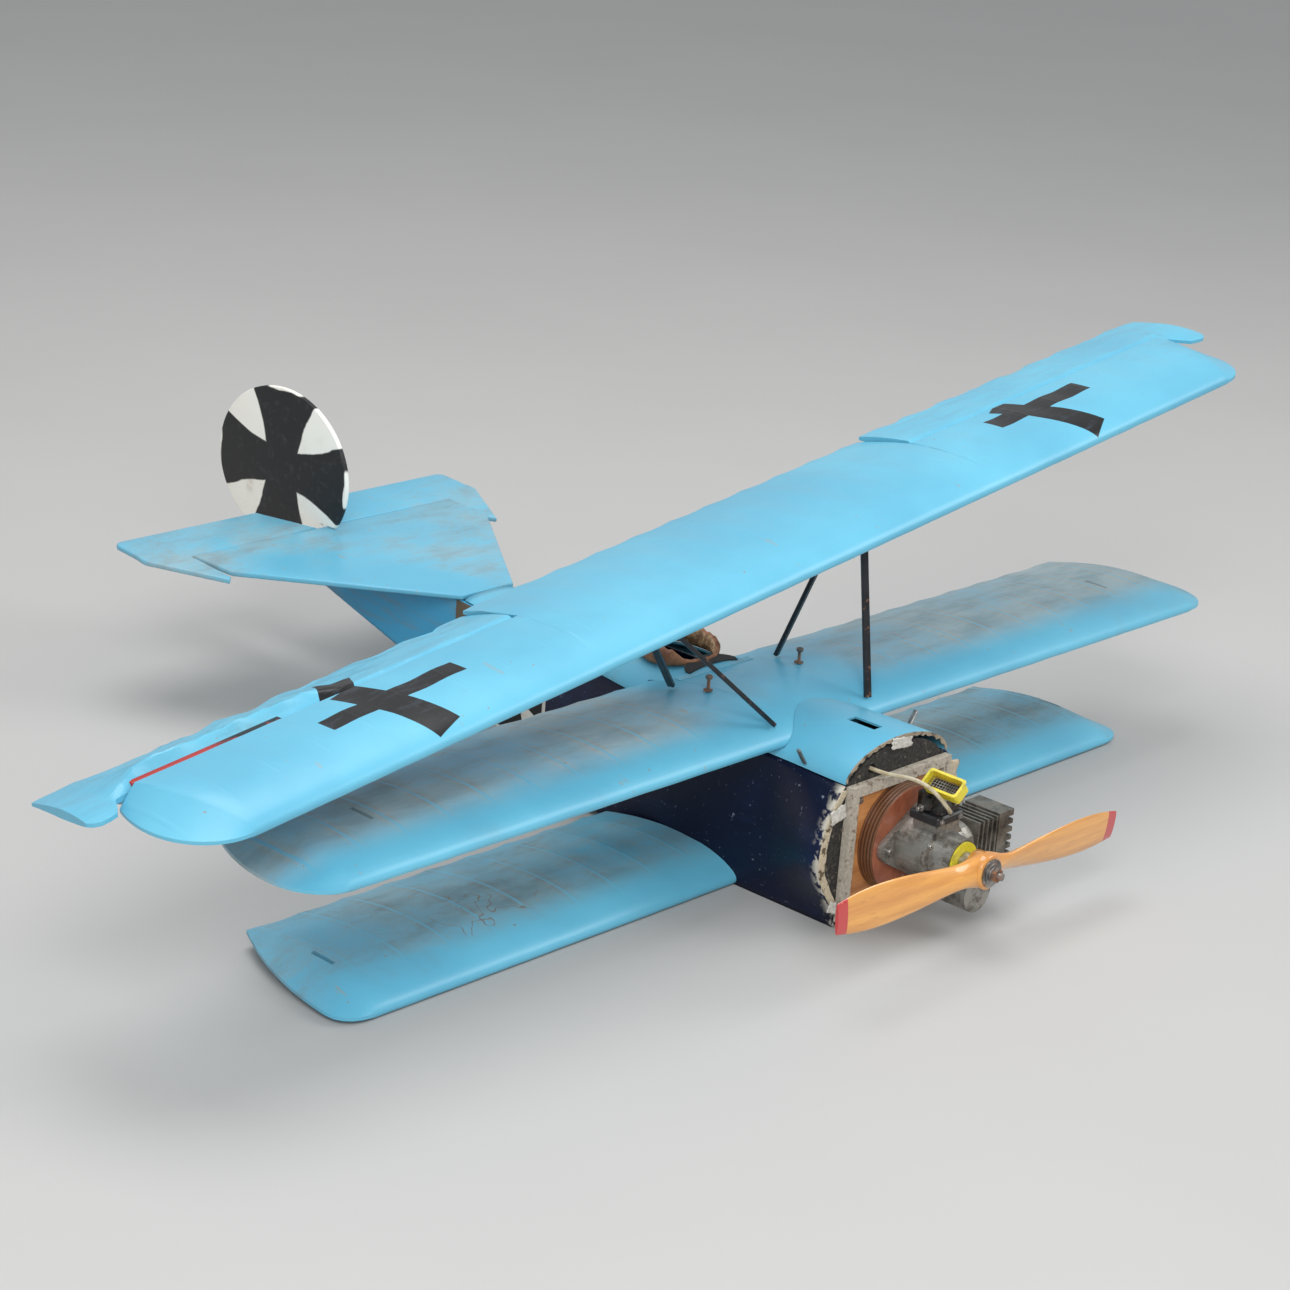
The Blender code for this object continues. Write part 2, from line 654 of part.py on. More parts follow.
def coaming():
    """Padded rim round the cockpit, following the arch of the deck."""
    points = []
    for x, y in cockpit_outline(0.003):
        share = x / half_width(y)
        points.append((x, y, deck_z(y, share, DECK_TOP_Z) + DECK_LIFT + COAMING_RADIUS + 0.0012))
    tube("cockpit_coaming", points, COAMING_RADIUS, "cork", cyclic=True)


def cowl_hooks():
    for side, name in ((1, "cowl_hook_left"), (-1, "cowl_hook_right")):
        x = side * HOOK_X
        foot = deck_z(HOOK_Y, HOOK_X / (HALF_WIDTH + nose_bulge(HOOK_Y, LONGERON_Z)), DECK_TOP_Z)
        turn = Matrix.Rotation(side * math.radians(35), 4, "Y")
        box(name, (0.003, 0.006, 0.024), (x + side * 0.010, HOOK_Y, foot + 0.014), "steel", 0.0008, turn)


def wing_bolts():
    for side, name in ((1, "wing_bolt_left"), (-1, "wing_bolt_right")):
        x = side * BOLT_X
        top = BOLT_HEAD_Z
        bolt = rod(name, BOLT_RADIUS, (x, BOLT_Y, 0.165), (x, BOLT_Y, top + 0.016), "steel", 10)
        boolean(bolt, rod_mesh(0.0065, (x, BOLT_Y, top), (x, BOLT_Y, top + 0.004), 6), "UNION")


def local_underside(x, y):
    """Underside height of the top wing in its own frame."""
    place = y / (TOP["te"] - TOP["le"])
    mean, half = profile(TOP, place)
    return mean - half + TOP["te_rise"] * place


def cabane(frame_matrix):
    """Four flat struts from the middle wing's root up to the top wing."""
    for name, foot, head in STRUTS:
        place = (foot[1] - MIDDLE["le"]) / (MIDDLE["te"] - MIDDLE["le"])
        mean, half = profile(MIDDLE, place)
        base = Vector((foot[0], foot[1], MIDDLE["z"] + mean + half))
        tip = frame_matrix @ Vector((head[0], head[1], local_underside(*head)))
        slant = (tip - base).normalized()
        clear = STRUT_CLEARANCE + STRUT_SIZE[0] * 0.7 * math.sqrt(1 - slant.z ** 2)
        base = base + slant * clear / slant.z
        along = tip - slant * clear / slant.z - base
        turn = along.to_track_quat("Z", "Y").to_matrix().to_4x4()
        strut = box(name, (*STRUT_SIZE, along.length), (0, 0, along.length / 2), "black_paint", 0.0006)
        strut.location = base
        strut.rotation_mode = "QUATERNION"
        strut.rotation_quaternion = turn.to_quaternion()


def tail():
    """Delta tailplane, horn-balanced elevators and the round rudder."""
    right = [(TAIL_ROOT_X, TAIL_ROOT_Y), (TAIL_TIP_X, TAIL_TIP_Y), (TAIL_TIP_X, TAIL_BACK_Y)]
    outline = right + [(-x, y) for x, y in reversed(right)]
    place("tailplane", plate_mesh(outline, TAIL_THICKNESS, lying(TAIL_Z)), "blue_film", smooth=False)
    half = [(0.014, ELEVATOR_HINGE_Y), (TAIL_TIP_X + 0.0025, ELEVATOR_HINGE_Y),
            (TAIL_TIP_X + 0.0025, TAIL_TIP_Y - 0.002), (TAIL_TIP_X + 0.010, TAIL_TIP_Y - 0.010)]
    half += arc((HORN_TIP_X - 0.030, 0.840), 0.030, -35, 20, 5)
    half += arc((HORN_TIP_X - 0.014, ELEVATOR_TE_Y - 0.012), 0.012, 10, 90, 5)
    half += [(0.050, ELEVATOR_TE_Y)]
    for name, side in (("elevator_left", 1), ("elevator_right", -1)):
        shape = [(side * x, y) for x, y in half]
        piece = place(name, plate_mesh(shape, TAIL_THICKNESS, lying(TAIL_Z)), "blue_film", smooth=False)
        settle(piece, (0, ELEVATOR_HINGE_Y, TAIL_Z), "X", ELEVATOR_LIFT)
    rudder()


def rudder():
    """A nearly round rudder whose lower front is cut back clear of the tailplane and stern."""
    cy, cz = RUDDER_CENTRE
    ry, rz = RUDDER_SIZE
    turns = spread(0, 2 * math.pi, 49)[:-1]
    outline = [(cy + ry * math.cos(a), cz + rz * math.sin(a)) for a in turns]
    piece = place("rudder", plate_mesh(outline, RUDDER_THICKNESS, standing(0)), "white_paint", smooth=False)
    notch_top = TAIL_Z + TAIL_THICKNESS / 2 + 0.0020
    notch_back = RUDDER_HINGE_Y - 0.0018
    boolean(piece, box_mesh((0.05, 0.2, 0.2), (0, notch_back - 0.1, notch_top - 0.1)))
    settle(piece, (0, RUDDER_HINGE_Y, 0), "Z", 0.0)
    rod("rudder_post", 0.0020, (0, RUDDER_HINGE_Y - 0.0068, 0.152), (0, RUDDER_HINGE_Y - 0.0068, 0.1908),
        "black_paint", 10)


# ---- engine -------------------------------------------------------------------
def on_shaft(y, dx=0.0, dz=0.0):
    return Vector((HUB.x + dx, y, HUB.z + dz))


def engine_mounting():
    """Firewall, its frame and the laminated ring that the engine is bolted to."""
    z = FIREWALL_Z
    box("firewall_plate", (0.150, 0.005, 0.138), (0, NOSE_Y - 0.0031, z), "ply")
    frame = box("firewall_frame", (0.176, 0.010, 0.163), (0, NOSE_Y - 0.0056, z), "pale_frame")
    boolean(frame, box_mesh((0.1506, 0.05, 0.1386), (0, NOSE_Y, z)))
    ring_back = NOSE_Y - 0.0059
    laminated = rod("mount_ring", 0.064, on_shaft(ring_back), on_shaft(RING_FRONT_Y), "brown_laminate", 40)
    boolean(laminated, rod_mesh(0.030, on_shaft(ring_back + 0.01), on_shaft(RING_FRONT_Y - 0.01), 24))
    lobes = []
    for k in range(3):
        a = 180 - 120 * k
        centre = (0.044 * math.cos(math.radians(a)), 0.044 * math.sin(math.radians(a)))
        lobes += list(reversed(arc(centre, 0.014, a - 62, a + 62, 7)))
    plate = plate_mesh(lobes, 0.007, facing_front(RING_FRONT_Y - 0.0038) @ Matrix.Translation((0, HUB.z, 0)))
    place("engine_backplate", plate, "cast_metal")


def crankcase():
    """The main casting: round case, nose, carburettor pad, cylinder flange and ignition housing."""
    front = RING_FRONT_Y - 0.0076
    case = rod("crankcase", 0.036, on_shaft(front), on_shaft(-0.236), "cast_metal", 32)
    boolean(case, rod_mesh(0.030, on_shaft(-0.230), on_shaft(-0.2618), 28, 0.025), "UNION")
    boolean(case, box_mesh((0.040, 0.034, 0.030), (0, CYLINDER_Y, 0.1185)), "UNION")
    boolean(case, rod_mesh(0.025, (0.010, CYLINDER_Y, HUB.z), (0.0425, CYLINDER_Y, HUB.z), 24), "UNION")
    boolean(case, rod_mesh(0.024, on_shaft(-0.215, 0.025, -0.042), on_shaft(-0.270, 0.025, -0.042), 24),
            "UNION")
    boolean(case, rod_mesh(SHAFT_RADIUS + GAP, on_shaft(-0.222), on_shaft(-0.280), 16))
    cover = rod("front_cover", 0.023, on_shaft(-0.2621), on_shaft(-0.2648), "yellow", 32)
    boolean(cover, rod_mesh(SHAFT_RADIUS + GAP, on_shaft(-0.25), on_shaft(-0.28), 16))


def cylinder_and_head():
    barrel = rod("cylinder_barrel", 0.021, (0.0428, CYLINDER_Y, HUB.z), (0.0852, CYLINDER_Y, HUB.z),
                 "cast_metal", 24)
    for k in range(5):
        fin = box_mesh((0.0028, 0.050, 0.056), (0.049 + 0.0082 * k, CYLINDER_Y, HUB.z))
        boolean(barrel, fin, "UNION")
    head = box("cylinder_head", (0.0270, 0.050, 0.060), (0.0990, CYLINDER_Y, HUB.z), "cast_metal")
    for k in range(5):
        slot = box_mesh((0.016, 0.06, 0.0045), (0.1105, CYLINDER_Y, HUB.z - 0.020 + 0.010 * k))
        boolean(head, slot)
    plug = rod("spark_plug", 0.006, (0.1128, CYLINDER_Y, HUB.z - 0.005), (0.132, CYLINDER_Y, HUB.z - 0.005),
               "black_plastic", 12)
    boolean(head, rod_mesh(0.008, (0.1025, CYLINDER_Y, HUB.z - 0.005), (0.14, CYLINDER_Y, HUB.z - 0.005), 16))
    boolean(plug, rod_mesh(0.0035, (0.1030, CYLINDER_Y, HUB.z - 0.005), (0.12, CYLINDER_Y, HUB.z - 0.005), 10),
            "UNION")


def carburation():
    """Insulator, carburettor, open intake box, throttle lever and the fuel line."""
    y = CYLINDER_Y
    box("carburettor_insulator", (0.046, 0.042, 0.011), (-0.002, y, 0.1393), "black_plastic", 0.002)
    body = box("carburettor", (0.032, 0.034, 0.0200), (0, y, 0.1552), "cast_metal")
    boolean(body, rod_mesh(0.008, (-0.022, y, 0.156), (0.022, y, 0.156), 14), "UNION")
    tilt = Matrix.Rotation(math.radians(-39), 4, "Y")
    mouth = Vector((-0.016, y, 0.181))
    neck = box_mesh((0.012, 0.020, 0.0197), mouth + tilt @ Vector((0, 0, -0.01815)), tilt)
    boolean(body, neck, "UNION")
    inlet = box("intake_box", (0.022, 0.048, 0.016), mouth, "yellow", 0.0, tilt)
    boolean(inlet, box_mesh((0.018, 0.044, 0.016), mouth + tilt @ Vector((0, 0, 0.002)), tilt))
    lever = box("throttle_lever", (0.017, 0.0016, 0.005), (0.005, 0, 0), "steel")
    lever.location = THROTTLE_PIVOT
    route = [(FUEL_HOLE[0], -0.148, FUEL_HOLE[1]), (FUEL_HOLE[0], -0.163, FUEL_HOLE[1]), (-0.041, -0.178, 0.182),
             (-0.0375, -0.196, 0.184), (-0.036, -0.214, 0.185), (-0.0345, -0.231, 0.182), (-0.031, -0.245, 0.173),
             (-0.0245, -0.2520, 0.162), (-0.0165, -0.2505, 0.1545), (-0.0115, -0.2450, 0.1513),
             (-0.011, -0.2389, 0.151)]
    tube("fuel_line", smooth_route(route), 0.0024, "clear_tube")


def smooth_route(points, per_span=3):
    """Catmull-Rom points through a hand-placed route."""
    knots = [Vector(p) for p in points]
    knots = [2 * knots[0] - knots[1]] + knots + [2 * knots[-1] - knots[-2]]
    path = []
    for a, b, c, d in zip(knots, knots[1:], knots[2:], knots[3:]):
        for k in range(per_span):
            t = k / per_span
            path.append(0.5 * (2 * b + (c - a) * t + (2 * a - 5 * b + 4 * c - d) * t * t
                               + (3 * b - a - 3 * c + d) * t ** 3))
    return path + [knots[-2]]


def blade_ring(r):
    """Propeller section at signed radius r; the hub is its thick round middle."""
    reach = abs(r) / PROP_RADIUS
    side = 1 if r >= 0 else -1
    neck = math.exp(-(reach / 0.10) ** 2)
    chord = 0.024 + 0.024 * math.sin(math.pi * min(reach / 0.72, 1.0) / 2) ** 2
    chord = chord * (1 - 0.30 * max(0.0, (reach - 0.72) / 0.28) ** 2) + 0.018 * neck
    depth = (0.0040 + 0.0085 * (1 - reach)) * (1 - neck) + PROP_HUB_DEPTH * neck
    pitch = math.atan2(0.152, 2 * math.pi * max(abs(r), 0.045)) * (1 - neck)
    points = []
    for k in range(12):
        a = 2 * math.pi * k / 12
        across, out = chord / 2 * math.cos(a), depth / 2 * math.sin(a)
        y = -across * math.sin(pitch) + out * math.cos(pitch)
        z = across * math.cos(pitch) + out * math.sin(pitch)
        points.append((r, y, side * z))
    return points if side > 0 else points[:1] + points[:0:-1]


def propeller():
    """Two-bladed wooden propeller on its crankshaft, with washer and nut."""
    reach = spread(0.0, PROP_RADIUS - 0.002, 13)
    rings = [blade_ring(-r) for r in reversed(reach[1:])] + [blade_ring(r) for r in reach]
    prop = loft("propeller", rings, "prop_wood")
    prop.location = HUB
    boolean(prop, rod_mesh(0.0205, (0, PROP_HUB_DEPTH / 2, 0), (0, -PROP_HUB_DEPTH / 2, 0), 28), "UNION")
    boolean(prop, rod_mesh(SHAFT_RADIUS + GAP, (0, 0.05, 0), (0, -0.05, 0), 16))
    back = HUB.y + PROP_HUB_DEPTH / 2
    front = HUB.y - PROP_HUB_DEPTH / 2
    axis = Vector((HUB.x, 0, HUB.z))
    prop.rotation_euler.y = -PROP_REST
    shaft = rod("crankshaft", SHAFT_RADIUS, axis + Vector((0, -0.2232, 0)), axis + Vector((0, front - 0.016, 0)),
                "steel", 16)
    boolean(shaft, rod_mesh(0.0125, axis + Vector((0, -0.2653, 0)), axis + Vector((0, back + GAP, 0)), 24),
            "UNION")
    washer = rod("prop_washer", 0.0165, axis + Vector((0, front - GAP, 0)),
                 axis + Vector((0, front - 0.0025, 0)), "steel", 28)
    nut = rod("prop_nut", 0.0085, axis + Vector((0, front - 0.0028, 0)), axis + Vector((0, front - 0.011, 0)),
              "steel", 6)
    for piece in (washer, nut):
        boolean(piece, rod_mesh(SHAFT_RADIUS + GAP, axis + Vector((0, front + 0.01, 0)),
                                axis + Vector((0, front - 0.03, 0)), 16))


# ---- assembly -------------------------------------------------------------------
fuselage()
interior()
coaming()
cowl_hooks()
middle_wing()
lower_wing(1, "lower_wing_left")
lower_wing(-1, "lower_wing_right")
wing_bolts()

top_frame = bpy.data.objects.new("top_wing_frame", None)
CUTTERS.objects.link(top_frame)
top_frame.location = TOP_ORIGIN
top_frame.rotation_euler = (0.0, TOP_LEAN, TOP_YAW)
bpy.context.view_layer.update()
top_wing(top_frame)
aileron("aileron_left", 1, top_frame)
aileron("aileron_right", -1, top_frame)
cabane(top_frame.matrix_world.copy())
tail()

engine_mounting()
crankcase()
cylinder_and_head()
carburation()
propeller()
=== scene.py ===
"""The looks of a weathered quarter-scale triplane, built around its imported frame."""
import math

import bmesh
import bpy
from mathutils import Matrix, Vector, noise


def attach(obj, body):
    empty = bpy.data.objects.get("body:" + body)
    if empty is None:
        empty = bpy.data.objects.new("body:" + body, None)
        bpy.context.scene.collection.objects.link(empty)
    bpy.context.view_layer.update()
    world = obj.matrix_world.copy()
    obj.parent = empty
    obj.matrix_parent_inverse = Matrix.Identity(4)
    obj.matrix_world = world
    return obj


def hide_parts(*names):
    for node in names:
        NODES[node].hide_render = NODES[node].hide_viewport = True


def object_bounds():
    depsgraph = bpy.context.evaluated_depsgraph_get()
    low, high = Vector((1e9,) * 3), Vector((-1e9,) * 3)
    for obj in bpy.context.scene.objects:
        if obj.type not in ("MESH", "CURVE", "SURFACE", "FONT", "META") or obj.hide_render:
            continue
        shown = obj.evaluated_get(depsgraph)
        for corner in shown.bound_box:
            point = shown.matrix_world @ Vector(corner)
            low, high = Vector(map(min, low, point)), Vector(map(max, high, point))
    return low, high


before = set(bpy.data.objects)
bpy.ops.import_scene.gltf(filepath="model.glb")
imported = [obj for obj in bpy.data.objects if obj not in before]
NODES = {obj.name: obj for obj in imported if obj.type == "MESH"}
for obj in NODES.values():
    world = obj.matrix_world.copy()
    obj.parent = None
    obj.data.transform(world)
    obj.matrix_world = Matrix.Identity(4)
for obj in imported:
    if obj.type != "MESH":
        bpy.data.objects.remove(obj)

cad_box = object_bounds()

# ---- sizes, in metres, in the frame of the CAD ---------------------------------
RIB_PITCH = 0.0625
SCALLOP = 0.005
THICKNESS, CAMBER, EDGE_HALF = 0.125, 0.050, 0.0012
SECTION_STEPS = 20
TIP_INSET = 0.006
TIP_BANDS = (0.0, 0.10, 0.22, 0.36, 0.50, 0.64, 0.77, 0.88, 0.95, 0.985, 1.0)
TIP_EDGE = 0.0019               # half thickness of the tip bow
SHEET_END = 0.24                # chord share where the leading-edge sheeting ends
SAG = 0.0014                    # film sag between ribs

MIDDLE = dict(le=-0.061, te=0.164, z=0.190, corner=0.735, widest=0.785, widest_y=0.005,
              te_corner=0.722, te_rise=0.003)
LOWER = dict(le=-0.012, te=0.204, z=0.0070, corner=0.650, widest=0.686, widest_y=0.018,
             te_corner=0.637, te_rise=0.012)
TOP = dict(le=0.0, te=0.226, z=0.0, corner=0.827, widest=0.889, widest_y=0.080,
           te_corner=0.812, te_rise=-0.002)
TOP_POSE = (Matrix.Translation((-0.036, -0.048, 0.382)) @ Matrix.Rotation(math.radians(0.71), 4, "Z")
            @ Matrix.Rotation(math.radians(-7.15), 4, "Y"))
LOWER_ROOT_X = 0.0876
BOLT_X, BOLT_Y, BOLT_HEAD_Z = 0.080, 0.0615, 0.2172
BAY_X, WING_SEAT_BACK_Y = 0.0665, 0.122
SLOT_X, SLOT_SIZE = 0.638, (0.005, 0.034, 0.10)
HINGE_CHORD, HINGE_GAP = 0.136, 0.0015
AILERON_INNER_X, AILERON_OUTER_X, AILERON_NOSE = 0.342, 0.868, 0.010
AILERON_REST = math.radians(4.0)
AILERON_BAY = 0.087             # between the aileron ribs that hold its slack covering
AILERON_STEPS = 18
SPAR_SIZE, SPAR_X = (0.190, 0.0085, 0.0150), -0.762
# sections of an aileron's horn: front x and y, back x, and how far it ends ahead of the trailing edge
HORN_SECTIONS = ((0.882, 0.134, 0.882, 0.0030), (0.891, 0.120, 0.889, 0.0035), (0.900, 0.108, 0.897, 0.0040),
                 (0.911, 0.105, 0.905, 0.0050), (0.922, 0.104, 0.912, 0.0060), (0.9295, 0.108, 0.918, 0.0080),
                 (0.933, 0.114, 0.922, 0.0100))

HUB = Vector((0.0, -0.290, 0.095))
INTAKE_MOUTH = (-0.016, -0.2395, 0.181)
PROP_RADIUS, PROP_HUB_DEPTH, PROP_REST = 0.254, 0.024, math.radians(-2.3)
PROP_TIP = 0.018                # painted length of each tip
NOSE_Y, NOSE_RADIUS, NOSE_CENTRE_Z, FLARE_END_Y = -0.158, 0.125, 0.087, -0.045
HALF_WIDTH, STERN_HALF_WIDTH, STERN_Y, TAPER_Y = 0.087, 0.010, 0.815, 0.100
LONGERON_Z, TAIL_SEAT_Z, TAIL_ROOT_Y = 0.173, 0.1912, 0.508
BELLY_END_Y, BELLY_RISE = 0.190, 0.20
DECK_TOP_Z, DECK_LIFT, NOSE_DECK_BACK_Y, COCKPIT_BACK_Y = 0.211, 0.0015, -0.012, 0.300
SADDLE, SKIN, GAP = 0.0072, 0.0025, 0.0003
COCKPIT_Y, COCKPIT_SIZE = 0.181, (0.040, 0.042)
DECK_SLOT = (0.015, 0.040, 0.05)
FIREWALL_FRONT_Y, RING_FRONT_Y, PLY_THICKNESS = -0.1636, -0.186, 0.0045
WIRE = 0.00030                  # radius of the intake gauze's wires
TAIL_Z, TAIL_THICKNESS = 0.195, 0.007
ELEVATOR_HINGE_Y, ELEVATOR_TE_Y, TAIL_TIP_X, TAIL_TIP_Y, HORN_TIP_X = 0.820, 0.902, 0.222, 0.742, 0.287
ELEVATOR_LIFT = math.radians(4.0)
RUDDER_CENTRE, RUDDER_SIZE, RUDDER_HINGE_Y = (0.907, 0.258), (0.129, 0.108), 0.828
BLUE_TAIL_Y = 0.465             # where the navy sides turn blue
SIDE_CROSS, SIDE_FIELD, SIDE_REACH = (0.400, 0.112), 0.064, 0.058

FOCAL_LENGTH = 86.348
CAMERA_PLACE = (-2.60813, -2.11161, 1.44091)
CAMERA_RIGHT, CAMERA_UP = Vector((0.68582, -0.72424, 0.07161)), Vector((0.195673, 0.278272, 0.94036))

# ---- colours ---------------------------------------------------------------------
BLUE, BLUE_DEEP = (0.140, 0.485, 0.655), (0.110, 0.400, 0.565)
DUST, DUST_DARK = (0.345, 0.325, 0.285), (0.190, 0.190, 0.170)
# Middle wing dust tones: the same dust painted lighter than elsewhere, as painted light against the shade of
# the top wing
WING_DUST_PAINTED_LIGHTER, WING_DARK_PAINTED_LIGHTER = (0.45, 0.43, 0.385), (0.27, 0.275, 0.255)
PALE_DUST, PALE_DARK = (0.36, 0.32, 0.27), (0.22, 0.21, 0.185)
# the second navy is a lighter blue that stands for a painted sheen on the sides
NAVY, NAVY_PAINTED_SHEEN = (0.0035, 0.0055, 0.022), (0.012, 0.025, 0.085)
BLACK = (0.006, 0.006, 0.007)
CREAM = (0.62, 0.53, 0.38)
WHITE = (0.70, 0.68, 0.62)


# ---- materials -------------------------------------------------------------------
class Field:
    """A value that varies over a surface, so that mixes can be written as sums."""

    def __init__(self, graph, socket):
        self.graph, self.socket = graph, socket

    def __add__(self, other):
        return self.graph.math("ADD", self, other)

    def __mul__(self, other):
        return self.graph.math("MULTIPLY", self, other)

    def __sub__(self, other):
        return self.graph.math("SUBTRACT", self, other)

    def __rsub__(self, other):
        return self.graph.math("SUBTRACT", other, self)

    def __truediv__(self, other):
        return self.graph.math("DIVIDE", self, other)

    def __pow__(self, other):
        return self.graph.math("POWER", self, other)

    def __abs__(self):
        return self.graph.math("ABSOLUTE", self)

    __radd__, __rmul__ = __add__, __mul__


class Graph:
    """One node material, with short calls for what it is mixed from."""

    def __init__(self, name, **sockets):
        self.material = bpy.data.materials.new(name)
        self.material.use_nodes = True
        self.tree = self.material.node_tree
        self.shader = self.tree.nodes["Principled BSDF"]
        self.point = self.node("ShaderNodeTexCoord", {}, "Object")
        self.x, self.y, self.z = (self.node("ShaderNodeSeparateXYZ", {0: self.point}, axis)
                                  for axis in range(3))
        for key, value in sockets.items():
            self.put(value, self.shader.inputs[key.replace("_", " ")])

    def node(self, kind, inputs, output=0, **settings):
        """One output of a new node, whose inputs are given by name or number."""
        made = self.tree.nodes.new(kind)
        for key, value in settings.items():
            setattr(made, key, value)
        for key, value in inputs.items():
            self.put(value, made.inputs[key])
        return Field(self, made.outputs[output])

    def put(self, value, socket):
        """Link a field to a socket, or set a number or colour on it."""
        if isinstance(value, Field):
            self.tree.links.new(value.socket, socket)
        elif isinstance(value, tuple) and socket.type == "RGBA":
            socket.default_value = (*value, 1.0)
        else:
            socket.default_value = value

    def math(self, operation, *values):
        return self.node("ShaderNodeMath", dict(enumerate(values)), operation=operation)

    def either(self, a, b):
        return self.math("MAXIMUM", a, b)

    def mix(self, share, low, high):
        return self.node("ShaderNodeMix", {0: share, 6: low, 7: high}, 2, data_type="RGBA")

    def noise(self, scale, detail=4.0, roughness=0.55, stretch=(1.0, 1.0, 1.0), shift=0.0):
        place = self.node("ShaderNodeMapping", {"Vector": self.point, "Location": (shift, shift, shift),
                                                "Scale": stretch})
        return self.node("ShaderNodeTexNoise", {"Vector": place, "Scale": scale, "Detail": detail,
                                                "Roughness": roughness})

    def ramp(self, value, low, high):
        """0 at low and 1 at high, smooth between."""
        return self.node("ShaderNodeMapRange", {0: value, 1: low, 2: high}, interpolation_type="SMOOTHSTEP")

    def band(self, value, centre, half, soft=0.0004):
        """1 within half of centre."""
        return self.ramp(abs(value - centre), half + soft, half - soft)

    def bar(self, x0, y0, x1, y1, half):
        """1 on a straight bar between two points of the XY plane."""
        length = math.hypot(x1 - x0, y1 - y0)
        cx, cy = (x1 - x0) / length, (y1 - y0) / length
        dx, dy = self.x - x0, self.y - y0
        along, across = dx * cx + dy * cy, dy * cx - dx * cy
        return self.band(along, length / 2, length / 2) * self.band(across, 0.0, half)

    def flared_cross(self, across, up, radius, waist=0.23, flare=0.32, power=1.9):
        """1 on a flared cross of the given reach, centred where both are 0."""
        u, v = abs(across) / radius, abs(up) / radius

        def arm(along, over):
            width = waist + along ** power * flare
            return self.ramp(over - width, 0.012, -0.012) * self.ramp(along, 1.01, 0.99)

        return self.either(arm(u, v), arm(v, u))

    def bump(self, height, distance, strength):
        """Raise the surface by a height field, on top of any bump already there."""
        normal = self.shader.inputs["Normal"]
        inputs = {"Height": height, "Distance": distance, "Strength": strength}
        if normal.is_linked:
            inputs["Normal"] = Field(self, normal.links[0].from_socket)
        self.put(self.node("ShaderNodeBump", inputs), normal)

    def surface(self, colour, rough, *bumps):
        """The finished material, with its colour, its roughness and what raises it."""
        self.put(colour, self.shader.inputs["Base Color"])
        self.put(rough, self.shader.inputs["Roughness"])
        for bump in bumps:
            self.bump(*bump)
        return self.material


def film(name, dirt=0.3, wing=None, crosses=(), soot=0.0, seed=0.0, clean=0.0, creases=False,
         tones=(DUST, DUST_DARK), cracks=None):
    """Painted blue covering: dusty behind the leading edge, rubbed over the ribs, scuffed and chipped."""
    g = Graph(name, Coat_Weight=0.10, Coat_Roughness=0.22, Specular_IOR_Level=0.35)
    broad, fine = g.noise(4.2, 5.0, shift=seed), g.noise(160.0, 5.0, 0.6)
    middle = g.noise(20.0, 6.0, 0.62, (0.55, 1.3, 1.0), seed)
    paint = g.mix(g.ramp(broad, 0.30, 0.72), BLUE_DEEP, BLUE)
    grime = broad * 0.55 + (middle * 0.30 + fine * 0.15)
    dust = g.ramp(grime, 0.60 - 0.36 * dirt, 0.74 - 0.24 * dirt)
    if wing:
        chord = wing["te"] - wing["le"]
        aft = g.ramp(g.y, wing["le"] + 0.09 * chord, wing["le"] + 0.36 * chord)
        rib = abs(g.math("SINE", g.x * (math.pi / RIB_PITCH)))
        on_rib, beside = g.ramp(rib, 0.19, 0.03), g.ramp(rib, 0.70, 0.12)
        dust = dust * aft * (1.0 - on_rib * 0.72)
        dust = g.math("MINIMUM", 1.0, dust * (0.85 + beside * 0.3))
        g.bump(on_rib * aft, 0.0005, 0.45)
    if clean:
        dust = dust * g.ramp(abs(g.x), clean, clean + 0.10)
    tone = g.mix(g.ramp(middle, 0.38, 0.72), *tones)
    paint = g.mix(dust * min(0.92, 0.40 + 0.55 * dirt), paint, tone)
    if soot:
        stain = g.ramp(g.noise(9.0, 6.0, shift=seed + 3.0), 0.56, 0.74) * soot
        paint = g.mix(stain, paint, DUST_DARK)
    scratches = g.ramp(g.noise(48.0, 5.0, 0.75, (1.0, 0.25, 1.0), seed + 6.0), 0.665, 0.69)
    paint = g.mix(scratches * (0.35 + 0.3 * dirt), paint, (0.34, 0.27, 0.18))
    if cracks:
        x0, y0, reach = cracks
        away = abs(g.x - x0) + abs(g.y - y0) * 1.8
        line = abs(g.noise(11.0, 3.0, 0.6, shift=2.0) - 0.5)
        tear = g.ramp(line, 0.0065, 0.0025) * g.ramp(away, reach, reach * 0.8)
        paint = g.mix(tear * 0.8, paint, (0.24, 0.17, 0.11))
        g.bump(1.0 - tear, 0.0006, 0.5)
    chips = g.ramp(g.noise(120.0, 3.0, 0.5, shift=1.7), 0.745, 0.76)
    paint = g.mix(chips, paint, (0.30, 0.22, 0.15))
    brushed = g.ramp(g.noise(60.0, 6.0, 0.7, (0.5, 1.6, 1.0)), 0.52, 0.68)
    for cross_bar in crosses:
        paint = g.mix(g.bar(*cross_bar), paint, g.mix(brushed, BLACK, (0.022, 0.030, 0.040)))
    folds = [(g.noise(26.0, 4.0, 0.5, (0.6, 1.6, 1.0)), 0.006, 0.5)] if creases else []
    return g.surface(paint, 0.34 + dust * 0.34, (fine, 0.0003, 0.25), (broad, 0.004, 0.2), *folds)


